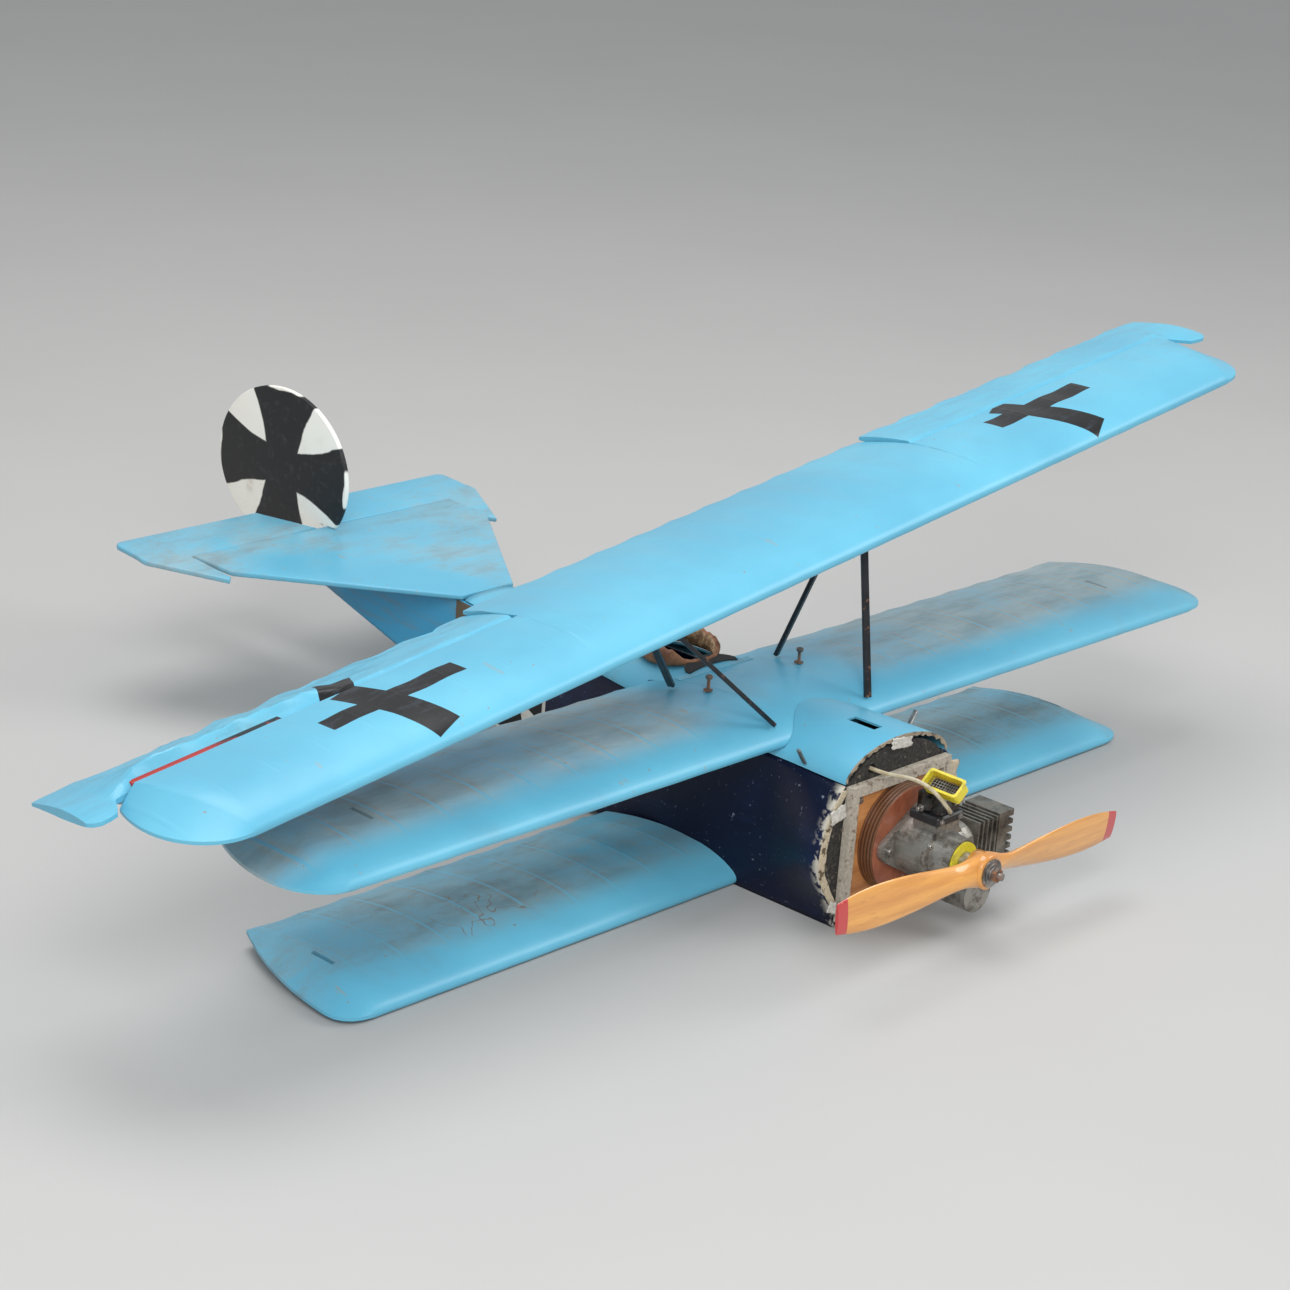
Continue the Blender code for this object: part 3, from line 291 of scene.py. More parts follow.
def side_paint():
    """Fuselage sides: scuffed navy, the tail end light blue, with a cross on a white field."""
    g = Graph("side_paint", Coat_Weight=0.06, Coat_Roughness=0.15, Specular_IOR_Level=0.22)
    broad, fine = g.noise(6.0, 5.0), g.noise(120.0, 6.0, 0.65)
    streaks = g.noise(40.0, 5.0, 0.6, (0.3, 0.3, 2.2))
    navy = g.mix(g.ramp(broad, 0.45, 0.75), NAVY, (0.004, 0.010, 0.045))
    scuff = g.either(g.ramp(fine, 0.62, 0.68) * g.ramp(streaks, 0.48, 0.62),
                     g.ramp(g.noise(330.0, 3.0, 0.5), 0.715, 0.74))
    navy = g.mix(scuff, navy, (0.20, 0.22, 0.28))
    # lighter blue-navy patches: a painted sheen on the navy, in noise patches
    navy = g.mix(g.ramp(broad * 0.5 + streaks * 0.5, 0.52, 0.70) * 0.55, navy, NAVY_PAINTED_SHEEN)
    blue = g.mix(g.ramp(streaks, 0.45, 0.7) * 0.45, (0.05, 0.33, 0.56), DUST_DARK)
    paint = g.mix(g.ramp(g.y, BLUE_TAIL_Y - 0.0005, BLUE_TAIL_Y + 0.0005), navy, blue)
    across, up = g.y - SIDE_CROSS[0], g.z - SIDE_CROSS[1]
    field = g.band(across, 0.0, SIDE_FIELD) * g.band(up, 0.0, SIDE_FIELD) * g.band(abs(g.x), 0.06, 0.05)
    paint = g.mix(field, paint, g.mix(g.ramp(streaks, 0.4, 0.8), WHITE, (0.45, 0.42, 0.36)))
    paint = g.mix(field * g.flared_cross(across, up, SIDE_REACH), paint, BLACK)
    patch = g.band(g.y, 0.500, 0.021) * g.band(g.z, 0.176, 0.013)
    paint = g.mix(patch, paint, (0.11, 0.085, 0.055))
    nose_wear = g.ramp(g.y, NOSE_Y + 0.016, NOSE_Y) * g.ramp(g.noise(70.0, 6.0), 0.46, 0.54)
    paint = g.mix(nose_wear, paint, (0.50, 0.47, 0.40))
    return g.surface(paint, 0.30 + fine * 0.25, (fine, 0.0003, 0.2), (broad, 0.004, 0.3))


def rudder_paint():
    """Hand-painted off-white disc with a black flared cross."""
    g = Graph("rudder_paint", Specular_IOR_Level=0.4)
    broad, fine = g.noise(14.0, 6.0, 0.65), g.noise(110.0, 5.0)
    (cy, cz), (ry, rz) = RUDDER_CENTRE, RUDDER_SIZE
    wobble = (g.noise(22.0, 3.0) - 0.5) * 0.010
    black = g.flared_cross(g.y - cy + wobble, (g.z - cz) * (ry / rz) + wobble, ry * 0.97)
    # the off-white is painted lighter than the white fields on the sides, as painted light for the little
    # light the rudder's face gets
    white = g.mix(g.ramp(broad, 0.5, 0.78), (0.86, 0.84, 0.77), (0.55, 0.48, 0.38))
    dark = g.mix(g.ramp(fine, 0.5, 0.8), (0.014, 0.014, 0.015), (0.04, 0.04, 0.042))
    return g.surface(g.mix(black, white, dark), 0.42 + fine * 0.2, (black * 0.4 + fine, 0.0003, 0.35))


def wood(name, light, dark, grain, roughness, scratches=0.0, grime=0.0, coat=0.0):
    """Wood with grain drawn out along one direction, oil stains and scratches."""
    g = Graph(name, Coat_Weight=coat, Coat_Roughness=0.08)
    lines = g.noise(60.0, 6.0, 0.6, grain)
    paint = g.mix(g.ramp(lines, 0.32, 0.70), dark, light)
    pores = g.ramp(g.noise(240.0, 3.0, 0.5, grain), 0.60, 0.72)
    paint = g.mix(pores * 0.35, paint, dark)
    if grime:
        stain = g.ramp(g.noise(26.0, 6.0, 0.65), 0.62 - 0.2 * grime, 0.78 - 0.2 * grime)
        paint = g.mix(stain * grime, paint, (0.05, 0.03, 0.018))
    if scratches:
        marks = g.ramp(g.noise(90.0, 4.0, 0.7, (1.0, 0.4, 1.0), 2.0), 0.64, 0.68)
        paint = g.mix(marks * scratches, paint, (0.60, 0.55, 0.48))
    return g.surface(paint, roughness - 0.1 + lines * 0.2, (lines, 0.0003, 0.3))


def prop_paint():
    """Varnished beech with red tips."""
    g = Graph("prop_varnish", Coat_Weight=0.9, Coat_Roughness=0.06)
    grain = g.noise(45.0, 6.0, 0.6, (0.10, 1.0, 1.6))
    layers = g.math("SINE", (g.y + grain * 0.003) * 900.0)
    base = g.mix(g.ramp(grain, 0.3, 0.72), (0.60, 0.24, 0.045), (0.84, 0.41, 0.085))
    base = g.mix(g.ramp(layers, 0.2, 1.0) * 0.18, base, (0.45, 0.17, 0.035))
    pores = g.ramp(g.noise(330.0, 3.0, 0.5, (0.12, 1.0, 1.0)), 0.6, 0.75)
    base = g.mix(pores * 0.3, base, (0.25, 0.09, 0.02))
    bare = PROP_RADIUS - PROP_TIP
    tip = g.ramp(abs(g.x), bare - 0.0004, bare + 0.0004)
    red = g.mix(g.ramp(g.noise(150.0, 4.0), 0.66, 0.72), (0.50, 0.030, 0.030), (0.62, 0.30, 0.22))
    return g.surface(g.mix(tip, base, red), 0.22 + grain * 0.18, (grain, 0.0003, 0.15))


def metal(name, colour, oily, rust, roughness, cast=0.35, metallic=0.85):
    """Cast or turned metal, dulled by oil, dust and rust."""
    g = Graph(name)
    sand, blotch = g.noise(420.0, 4.0, 0.6), g.noise(38.0, 6.0, 0.65)
    paint = g.mix(g.ramp(blotch, 0.42, 0.70), colour, tuple(c * 0.32 for c in colour))
    dirty = g.ramp(g.noise(75.0, 6.0, 0.7, shift=4.0), 0.66 - 0.2 * oily, 0.80 - 0.2 * oily)
    paint = g.mix(dirty * oily, paint, (0.06, 0.045, 0.03))
    share = dirty
    if rust:
        rusty = g.ramp(g.noise(110.0, 6.0, 0.7, shift=7.0), 0.60 - 0.25 * rust, 0.70 - 0.15 * rust)
        paint = g.mix(rusty, paint, g.mix(sand, (0.16, 0.06, 0.025), (0.34, 0.15, 0.07)))
        share = g.either(dirty, rusty)
    g.put((1.0 - share * 0.9) * metallic, g.shader.inputs["Metallic"])
    return g.surface(paint, roughness + share * 0.3, (sand, 0.0002, cast))


def plastic(name, colour, roughness, dirt, dirt_colour=(0.10, 0.09, 0.075), subsurface=0.0):
    """Moulded plastic or paint with a fine grain and settled dirt."""
    g = Graph(name, Subsurface_Weight=subsurface)
    fine, blotch = g.noise(380.0, 4.0), g.noise(55.0, 6.0, 0.65)
    grime = g.ramp(blotch, 0.62 - 0.2 * dirt, 0.82 - 0.2 * dirt) * dirt
    paint = g.mix(g.ramp(fine, 0.3, 0.7), tuple(c * 0.86 for c in colour), colour)
    return g.surface(g.mix(grime, paint, dirt_colour), roughness + grime * 0.4, (fine, 0.0002, 0.2))


def scorched():
    """Nose former: plywood blackened by oil, with grey dust and fluff caught on it."""
    g = Graph("scorched_ply")
    fine, lumps = g.noise(210.0, 6.0, 0.7), g.noise(60.0, 6.0, 0.7)
    paint = g.mix(g.ramp(fine, 0.35, 0.7), (0.014, 0.013, 0.012), (0.05, 0.046, 0.040))
    paint = g.mix(g.ramp(lumps * 0.6 + fine * 0.4, 0.54, 0.66), paint, (0.20, 0.175, 0.135))
    specks = g.ramp(g.noise(500.0, 3.0), 0.72, 0.76)
    return g.surface(g.mix(specks, paint, (0.55, 0.52, 0.46)), 0.85, (lumps + fine, 0.002, 0.8))


def weathered(name, colour, under, amount, scale=80.0):
    """Old paint or tape, stained and flaked through to what is under it."""
    g = Graph(name)
    flakes, fine = g.noise(scale, 6.0, 0.7), g.noise(300.0, 5.0)
    paint = g.mix(g.ramp(fine, 0.3, 0.75), tuple(c * 0.7 for c in colour), colour)
    lost = g.ramp(flakes, 0.70 - 0.3 * amount, 0.74 - 0.3 * amount)
    return g.surface(g.mix(lost, paint, under), 0.75, (fine - lost * 1.5, 0.0006, 0.6))


def leather():
    """Worn padding of the cockpit rim: brown outside, cracked and tan inside."""
    g = Graph("rim_leather")
    folds, blotch = g.noise(150.0, 5.0, 0.6), g.noise(45.0, 6.0, 0.7)
    across, along = g.x / COCKPIT_SIZE[0], (g.y - COCKPIT_Y) / COCKPIT_SIZE[1]
    inside = g.ramp(across * across + along * along + blotch * 0.5, 1.36, 1.24)
    brown = g.mix(g.ramp(blotch, 0.36, 0.62), (0.20, 0.070, 0.030), (0.40, 0.17, 0.075))
    tan = g.mix(g.ramp(folds, 0.40, 0.62), (0.24, 0.13, 0.07), (0.62, 0.40, 0.21))
    return g.surface(g.mix(inside, brown, tan), 0.6, (folds, 0.0006, 0.35))


def clear_hose():
    """Yellowed translucent fuel tube."""
    g = Graph("clear_hose", Transmission_Weight=0.25, IOR=1.42)
    stain = g.noise(90.0, 5.0, 0.6)
    paint = g.mix(g.ramp(stain, 0.35, 0.7), (0.66, 0.60, 0.44), (0.45, 0.36, 0.20))
    return g.surface(paint, 0.22 + stain * 0.2)


def ring_wood():
    """Laminated mount ring: dark plies round the edge, reddish face with pale scratches."""
    g = Graph("laminated_ring", Coat_Weight=0.35, Coat_Roughness=0.25)
    plies = g.math("SINE", g.y * (2 * math.pi / PLY_THICKNESS))
    swirl, marks = g.noise(50.0, 6.0, 0.6), g.noise(75.0, 5.0, 0.75, (1.0, 1.0, 0.5), 3.0)
    edge = g.mix(g.ramp(plies, -0.5, 0.5), (0.055, 0.022, 0.010), (0.16, 0.065, 0.028))
    face = g.mix(g.ramp(swirl, 0.3, 0.7), (0.24, 0.065, 0.030), (0.36, 0.115, 0.055))
    face = g.mix(g.ramp(marks, 0.63, 0.67), face, (0.58, 0.50, 0.42))
    paint = g.mix(g.ramp(g.y, RING_FRONT_Y + 0.0012, RING_FRONT_Y + 0.0004), edge, face)
    return g.surface(paint, 0.30 + swirl * 0.25, (plies + swirl, 0.0003, 0.5))


def red_spar():
    """Red paint on the bare spar, darkened as painted shadow of the hinge gap, and black at its inner end as
    painted shadow.
    """
    g = Graph("red_spar", Roughness=0.5)
    # shade masks the painted shadow that turns the spar black towards its inner end
    shade = g.ramp(g.x, -0.765, -0.725) * g.ramp(g.noise(60.0, 5.0), 0.30, 0.42)
    return g.surface(g.mix(shade, (0.36, 0.022, 0.016), (0.012, 0.010, 0.010)), 0.5)


def floor_paint():
    """Plain pale studio floor."""
    g = Graph("studio_floor", Specular_IOR_Level=0.25)
    return g.surface(g.mix(g.noise(1.6, 4.0), (0.455, 0.450, 0.440), (0.495, 0.489, 0.478)), 0.55)


NEAR_ARM, NEAR_CHORD = (-0.658, 0.084, -0.472, 0.088, 0.0125), (-0.559, 0.010, -0.594, 0.1345, 0.0195)
FAR_ARM, FAR_CHORD = (0.446, 0.095, 0.633, 0.097, 0.0150), (0.556, 0.010, 0.4974, 0.1345, 0.0205)
AILERON_MARK = (-0.594, 0.136, -0.572, 0.174, 0.020)

BLACK_METAL = metal("strut_black", (0.016, 0.018, 0.022), 0.2, 0.06, 0.34, 0.2, 0.2)
STEEL = metal("old_steel", (0.38, 0.37, 0.35), 0.45, 0.25, 0.34)
RUSTY = metal("rusty_steel", (0.20, 0.18, 0.16), 0.5, 0.75, 0.5)
CAST = metal("cast_alloy", (0.37, 0.355, 0.32), 0.85, 0.0, 0.42, 0.6)
FINS = metal("fin_alloy", (0.26, 0.25, 0.22), 0.7, 0.0, 0.5, 0.5)
CARB = metal("carburettor_alloy", (0.09, 0.088, 0.085), 0.7, 0.1, 0.28)
BLACK_PAINT = weathered("black_paint", (0.020, 0.019, 0.018), (0.11, 0.085, 0.06), 0.12, 60.0)
BLACK_PLASTIC = plastic("black_plastic", (0.016, 0.016, 0.017), 0.38, 0.35)
WHITE_PLASTIC = plastic("white_plastic", (0.62, 0.62, 0.58), 0.35, 0.15)
YELLOW = plastic("yellow_plastic", (0.80, 0.64, 0.035), 0.28, 0.55, (0.20, 0.16, 0.05), 0.15)
PLY = wood("light_ply", (0.50, 0.32, 0.15), (0.30, 0.17, 0.07), (1.0, 1.0, 0.12), 0.6)
TAPE = weathered("white_tape", (0.66, 0.64, 0.58), (0.20, 0.15, 0.10), 0.35)


# ---- meshes ----------------------------------------------------------------------
def stand_in(piece, node):
    """Let a piece take the place of a CAD node."""
    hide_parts(node)


def shade(mesh, angle):
    mesh.shade_smooth()
    mesh.set_sharp_from_angle(angle=math.radians(angle))


def show(name, mesh, look, body="airframe", pose=None, smooth=32):
    """Put a mesh in the scene as one piece that rides a body."""
    piece = bpy.data.objects.new(name, mesh)
    bpy.context.scene.collection.objects.link(piece)
    mesh.materials.append(look)
    shade(mesh, smooth)
    if pose is not None:
        piece.matrix_world = pose
    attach(piece, body)
    return piece


def finish_mesh(bm, turn_out=True):
    """The mesh that was built up, with its faces turned outwards."""
    if turn_out:
        bmesh.ops.recalc_face_normals(bm, faces=bm.faces)
    mesh = bpy.data.meshes.new("mesh")
    bm.to_mesh(mesh)
    bm.free()
    return mesh


def grid(rings, around=True, looped=False):
    """Rows of points with faces between them, closed around each row, or looped end to end."""
    bm = bmesh.new()
    rows = [[bm.verts.new(p) for p in points] for points in rings]
    for near, far in zip(rows, rows[1:] + rows[:1] * looped):
        for i in range(len(near) - 1 + around):
            j = (i + 1) % len(near)
            bm.faces.new((near[i], near[j], far[j], far[i]))
    return bm, rows


def loft(rings, strips=False):
    """A closed skin through equal rings of points; strips close wing sections from top to bottom."""
    bm, rows = grid(rings)
    count = len(rings[0])
    for row in (rows[0], rows[-1]):
        if strips:
            for i in range(count // 2 - 1):
                bm.faces.new((row[i], row[i + 1], row[count - 2 - i], row[count - 1 - i]))
        else:
            bm.faces.new(row)
    bmesh.ops.remove_doubles(bm, verts=bm.verts, dist=1e-6)
    return finish_mesh(bm)


def box_mesh(size, centre=(0, 0, 0), bevel=0.0):
    bm = bmesh.new()
    bmesh.ops.create_cube(bm, size=1.0)
    bmesh.ops.scale(bm, vec=Vector(size), verts=bm.verts)
    if bevel:
        bmesh.ops.bevel(bm, geom=bm.edges[:], offset=bevel, segments=2, affect="EDGES", profile=0.5)
    bmesh.ops.translate(bm, vec=Vector(centre), verts=bm.verts)
    return finish_mesh(bm)


def turned(profile, start, axis, sides=40):
    """A solid of revolution: (distance along axis, radius) pairs from a start point."""
    turn = Vector(axis).normalized().to_track_quat("Z", "Y").to_matrix()
    circle = [(math.cos(2 * math.pi * k / sides), math.sin(2 * math.pi * k / sides)) for k in range(sides)]
    return loft([[Vector(start) + turn @ Vector((radius * c, radius * s, along)) for c, s in circle]
                 for along, radius in profile])


def joined(meshes):
    """Several meshes as one."""
    bm = bmesh.new()
    for mesh in meshes:
        bm.from_mesh(mesh)
    return finish_mesh(bm, False)


def thicken(piece, thickness, offset=-1.0):
    shell = piece.modifiers.new("thickness", "SOLIDIFY")
    shell.thickness, shell.offset = thickness, offset


def cut(piece, mesh):
    """Cut a mesh out of a piece and keep the result."""
    tool = bpy.data.objects.new("tool", mesh)
    bpy.context.scene.collection.objects.link(tool)
    tool.matrix_world = piece.matrix_world
    step = piece.modifiers.new("cut", "BOOLEAN")
    step.object = tool
    bpy.context.view_layer.update()
    made = bpy.data.meshes.new_from_object(piece.evaluated_get(bpy.context.evaluated_depsgraph_get()))
    piece.modifiers.clear()
    piece.data = made
    shade(made, 32)
    bpy.data.objects.remove(tool, do_unlink=True)


def spread(start, end, count):
    return [start + (end - start) * i / (count - 1) for i in range(count)]


def ease(value, low, high):
    """0 before low, 1 after high, smooth between."""
    t = min(max((value - low) / (high - low), 0.0), 1.0)
    return t * t * (3 - 2 * t)


def wander(x, y, scale, seed=0.0):
    """Smooth random height, about -1 to 1."""
    return noise.noise(Vector((x * scale, y * scale, seed)))


# ---- wings -----------------------------------------------------------------------
def chord_shares(count):
    """Shares from 0 to 1 along a chord, close together at both ends."""
    return [(1 - math.cos(math.pi * i / count)) / 2 for i in range(count + 1)]


def profile(wing, place, shrink=1.0):
    """Mean height and half thickness at a chordwise place."""
    chord = wing["te"] - wing["le"]
    fade = (0.2969 * math.sqrt(place) - 0.126 * place - 0.3516 * place ** 2
            + 0.2843 * place ** 3 - 0.1015 * place ** 4)
    mean = shrink * 4 * CAMBER * chord * place * (1 - place)
    return mean, 5 * THICKNESS * chord * fade * shrink + EDGE_HALF


def film_sag(x, place, back):
    """How far the film sinks between ribs, behind the leading-edge sheeting."""
    if place < SHEET_END:
        return 0.0
    bay = math.sin(math.pi * x / RIB_PITCH) ** 2
    return SAG * bay * ease(place, SHEET_END, SHEET_END + 0.12) * (1 - 0.75 * ease(place, back * 0.8, back))


def ring(wing, front, back, swell=0.0, sag=1.0):
    """One section between a front and a back point, over the top and back underneath."""
    chord = wing["te"] - wing["le"]
    reach = (back[1] - wing["le"]) / chord
    shrink = ((back[1] - front[1]) / (back[1] - wing["le"])) ** 0.65
    upper, lower = [], []
    for t in chord_shares(SECTION_STEPS):
        mean, half = profile(wing, min(reach * t, 1.0), shrink)
        x = front[0] + (back[0] - front[0]) * t
        y = front[1] + (back[1] - front[1]) * t
        sunk = sag * film_sag(x, reach * t, reach)
        ripple = 0.00035 * wander(x, y, 26.0) * sag
        z = wing["z"] + mean + wing["te_rise"] * (y - wing["le"]) / chord + ripple
        upper.append((x, y, z + half + swell - sunk))
        lower.append((x, y, z - half - swell + sunk * 0.6))
    return upper[::-1] + lower


def tip_bow(wing, y):
    """How far out the rounded tip reaches at chordwise place y."""
    if y < wing["widest_y"]:
        ahead = (wing["widest_y"] - y) / (wing["widest_y"] - wing["le"])
        return wing["corner"] + (wing["widest"] - wing["corner"]) * math.sqrt(max(0.0, 1 - ahead ** 2))
    aft = (y - wing["widest_y"]) / (wing["te"] - wing["widest_y"])
    return wing["te_corner"] + (wing["widest"] - wing["te_corner"]) * (1 - aft ** 2)


def scallop(x):
    return SCALLOP * abs(math.sin(math.pi * x / RIB_PITCH))


def stations(start, end):
    """Fine places from start out to end that fall on every rib."""
    places = [k * RIB_PITCH / 6 for k in range(1, 120)]
    return [start] + [x for x in places if start + 0.002 < x < end - 0.002] + [end]


def last_rib(wing):
    """The outermost rib that runs straight back."""
    return math.floor((wing["te_corner"] - TIP_INSET) / RIB_PITCH) * RIB_PITCH


def tip_rings(wing, back_y, back_x, wrinkle=0.0):
    """Covering drawn straight from the end rib to the thin bow of the tip, gathered at its rim."""
    rib_x = min(wing["corner"], back_x - TIP_INSET) if back_x < wing["corner"] else back_x - TIP_INSET
    rib = ring(wing, (wing["corner"] - TIP_INSET, wing["le"]), (rib_x, back_y), 0.0, 0.5)
    bow = []
    chord = wing["te"] - wing["le"]
    for t in chord_shares(SECTION_STEPS):
        y = wing["le"] + (back_y - wing["le"]) * t
        x = max(tip_bow(wing, y), wing["corner"] if t < 0.5 else back_x)
        z = wing["z"] + wing["te_rise"] * (y - wing["le"]) / chord
        bow.append((x, y, z))
    edge = [(x, y, z + TIP_EDGE) for x, y, z in reversed(bow)] + [(x, y, z - TIP_EDGE) for x, y, z in bow]
    rings = []
    for share in TIP_BANDS:
        points = []
        for near, far in zip(rib, edge):
            point = Vector(near).lerp(Vector(far), share)
            gather = wrinkle * share * (1 - share) * 4 * wander(point.y, point.y, 95.0, 3.0)
            points.append(point + Vector((0, 0, gather * (1 - ease(point.y, wing["le"] + 0.05, wing["te"])))))
        rings.append([tuple(p) for p in points])
    return rings


def mirrored(rings):
    return [[(-x, y, z) for x, y, z in points] for points in reversed(rings)]


def ribbed(wing, start, end, back=None):
    """Sections from start out to end, back to a straight line or to the scalloped trailing edge."""
    return [ring(wing, (x, wing["le"]), (x, back or wing["te"] - scallop(x))) for x in stations(start, end)]


def add_wings():
    """The fixed wings, as stretched film over ribs and a sheeted nose."""
    half = [ring(MIDDLE, (x, MIDDLE["le"]), (x, WING_SEAT_BACK_Y), 0.0, 0.0) for x in spread(0.0, BAY_X, 6)]
    half += ribbed(MIDDLE, BAY_X + 0.002, last_rib(MIDDLE))
    half += tip_rings(MIDDLE, MIDDLE["te"], MIDDLE["te_corner"], 0.0035)
    # the middle wing's dust is painted lighter, as painted light that offsets the top wing's shade
    look = film("middle_film", 0.80, MIDDLE, soot=0.16, seed=2.0, clean=0.085, tones=(WING_DUST_PAINTED_LIGHTER, WING_DARK_PAINTED_LIGHTER))
    middle = show("middle_wing_skin", loft(mirrored(half[1:]) + half, True), look)
    for side in (-1, 1):
        cut(middle, box_mesh(SLOT_SIZE, (side * SLOT_X, 0.030, MIDDLE["z"])))
    stand_in(middle, "middle_wing")

    look = film("lower_film", 0.60, LOWER, soot=0.30, seed=5.0, cracks=(-0.43, LOWER["le"] + 0.075, 0.105))
    half = ribbed(LOWER, LOWER_ROOT_X, last_rib(LOWER)) + tip_rings(LOWER, LOWER["te"], LOWER["te_corner"])
    for side, node in ((1, "lower_wing_left"), (-1, "lower_wing_right")):
        panel = show(node + "_skin", loft(half if side > 0 else mirrored(half), True), look)
        cut(panel, box_mesh(SLOT_SIZE, (side * SLOT_X, 0.079, LOWER["z"])))
        stand_in(panel, node)

    back = HINGE_CHORD - HINGE_GAP
    half = ribbed(TOP, 0.0, AILERON_INNER_X - 0.004)
    half += ribbed(TOP, AILERON_INNER_X - 0.003, 13 * RIB_PITCH, back)
    half += tip_rings(TOP, back, AILERON_OUTER_X - 0.004)
    look = film("top_film", 0.12, TOP, (NEAR_ARM, NEAR_CHORD, FAR_ARM, FAR_CHORD), seed=9.0)
    top = show("top_wing_skin", loft(mirrored(half[1:]) + half, True), look, pose=TOP_POSE)
    stand_in(top, "top_wing")


def hinge_height():
    place = HINGE_CHORD / TOP["te"]
    return profile(TOP, place)[0] + TOP["te_rise"] * place


def aileron_ring(front, back, side):
    """An aileron section whose covering is loose and puckered towards the aircraft's right tip."""
    chord = TOP["te"] - TOP["le"]
    x0 = front[0]
    torn = ease(x0, 0.56, 0.64) * (1 - ease(x0, 0.835, 0.866)) if side < 0 else 0.0
    wavy = ease(x0, 0.345, 0.40) * (1 - ease(x0, 0.84, 0.87)) * (1.0 if side < 0 else 0.55)
    bays = abs(math.sin(math.pi * (x0 - AILERON_INNER_X) / AILERON_BAY + 0.9 * wander(x0, 0.0, 7.0, 1.0)))
    draw = wavy * (0.0010 + 0.0120 * bays ** 1.3)
    horn = ease(x0, AILERON_OUTER_X, 0.89)
    upper, lower = [], []
    for t in chord_shares(AILERON_STEPS):
        x = front[0] + (back[0] - front[0]) * t
        y = front[1] + (back[1] - draw - front[1]) * t
        mean, half = profile(TOP, y / chord)
        nose = min(1.0, 0.12 + (y - front[1]) / (AILERON_NOSE + 0.045 * horn)) ** 0.6 * (1 - 0.45 * horn)
        z = mean + TOP["te_rise"] * y / chord
        crease = wavy * 0.0030 * wander(x, y * 3.0, 30.0, side * 5.0) * ease(t, 0.15, 0.5)
        puff = torn * 0.0075 * ease(t, 0.04, 0.22) * (1 - ease(t, 0.35, 0.8))
        puff *= 1 + 0.8 * wander(x, y, 40.0, 2.0)
        pulled = torn * 0.013 * (1 - ease(t, 0.0, 0.40))
        upper.append((x, y + pulled, z + half * nose + crease + puff))
        lower.append((x, y, z - half * nose + crease * 0.5))
    return upper[::-1] + lower


def add_ailerons():
    te, hinge = TOP["te"], HINGE_CHORD
    pivot = Vector((0, hinge, hinge_height()))
    for side, node, body in ((1, "aileron_left", "left_aileron"), (-1, "aileron_right", "right_aileron")):
        half = [aileron_ring((x, hinge), (x, te - scallop(x)), side)
                for x in stations(AILERON_INNER_X, AILERON_OUTER_X)]
        half += [aileron_ring((x_front, y_front), (x_back, te - short), 1)
                 for x_front, y_front, x_back, short in HORN_SECTIONS]
        pose = (TOP_POSE @ Matrix.Translation(pivot) @ Matrix.Rotation(AILERON_REST * side, 4, "X")
                @ Matrix.Translation(-pivot))
        look = film("aileron_film_" + body, 0.10, crosses=(AILERON_MARK,) if side < 0 else (),
                    seed=11.0 + side, creases=True)
        piece = show(node + "_skin", loft(half if side > 0 else mirrored(half), True), look, body, pose)
        stand_in(piece, node)
        if side < 0:
            spar = box_mesh(SPAR_SIZE, (SPAR_X, hinge + 0.0072, pivot.z + 0.0013), 0.0006)
            show("aileron_right_spar", spar, red_spar(), body, pose)


# ---- tail --------------------------------------------------------------------------
def padded_plate(name, outline, look, body="airframe", pose=None, upright=False, rim=0.0022):
    """A tail surface with a rounded rim, from a closed outline, lying flat or standing upright."""
    bm, thickness = bmesh.new(), TAIL_THICKNESS
    places = [(-thickness / 2, x, y) if upright else (x, y, -thickness / 2) for x, y in outline]
    face = bm.faces.new([bm.verts.new(place) for place in places])
    offset = Vector((thickness, 0, 0) if upright else (0, 0, thickness))
    made = bmesh.ops.extrude_face_region(bm, geom=[face])
    moved = [v for v in made["geom"] if isinstance(v, bmesh.types.BMVert)]
    bmesh.ops.translate(bm, vec=offset, verts=moved)
    side_edges = [e for e in bm.edges if abs((e.verts[0].co - e.verts[1].co).dot(offset)) < 1e-9]
    bmesh.ops.bevel(bm, geom=side_edges, offset=rim, segments=3, affect="EDGES", profile=0.5)
    return show(name, finish_mesh(bm), look, body, pose, 40)


def arc(centre, radius, start, end, count):
    return [(centre[0] + radius * math.cos(math.radians(a)), centre[1] + radius * math.sin(math.radians(a)))
            for a in spread(start, end, count)]


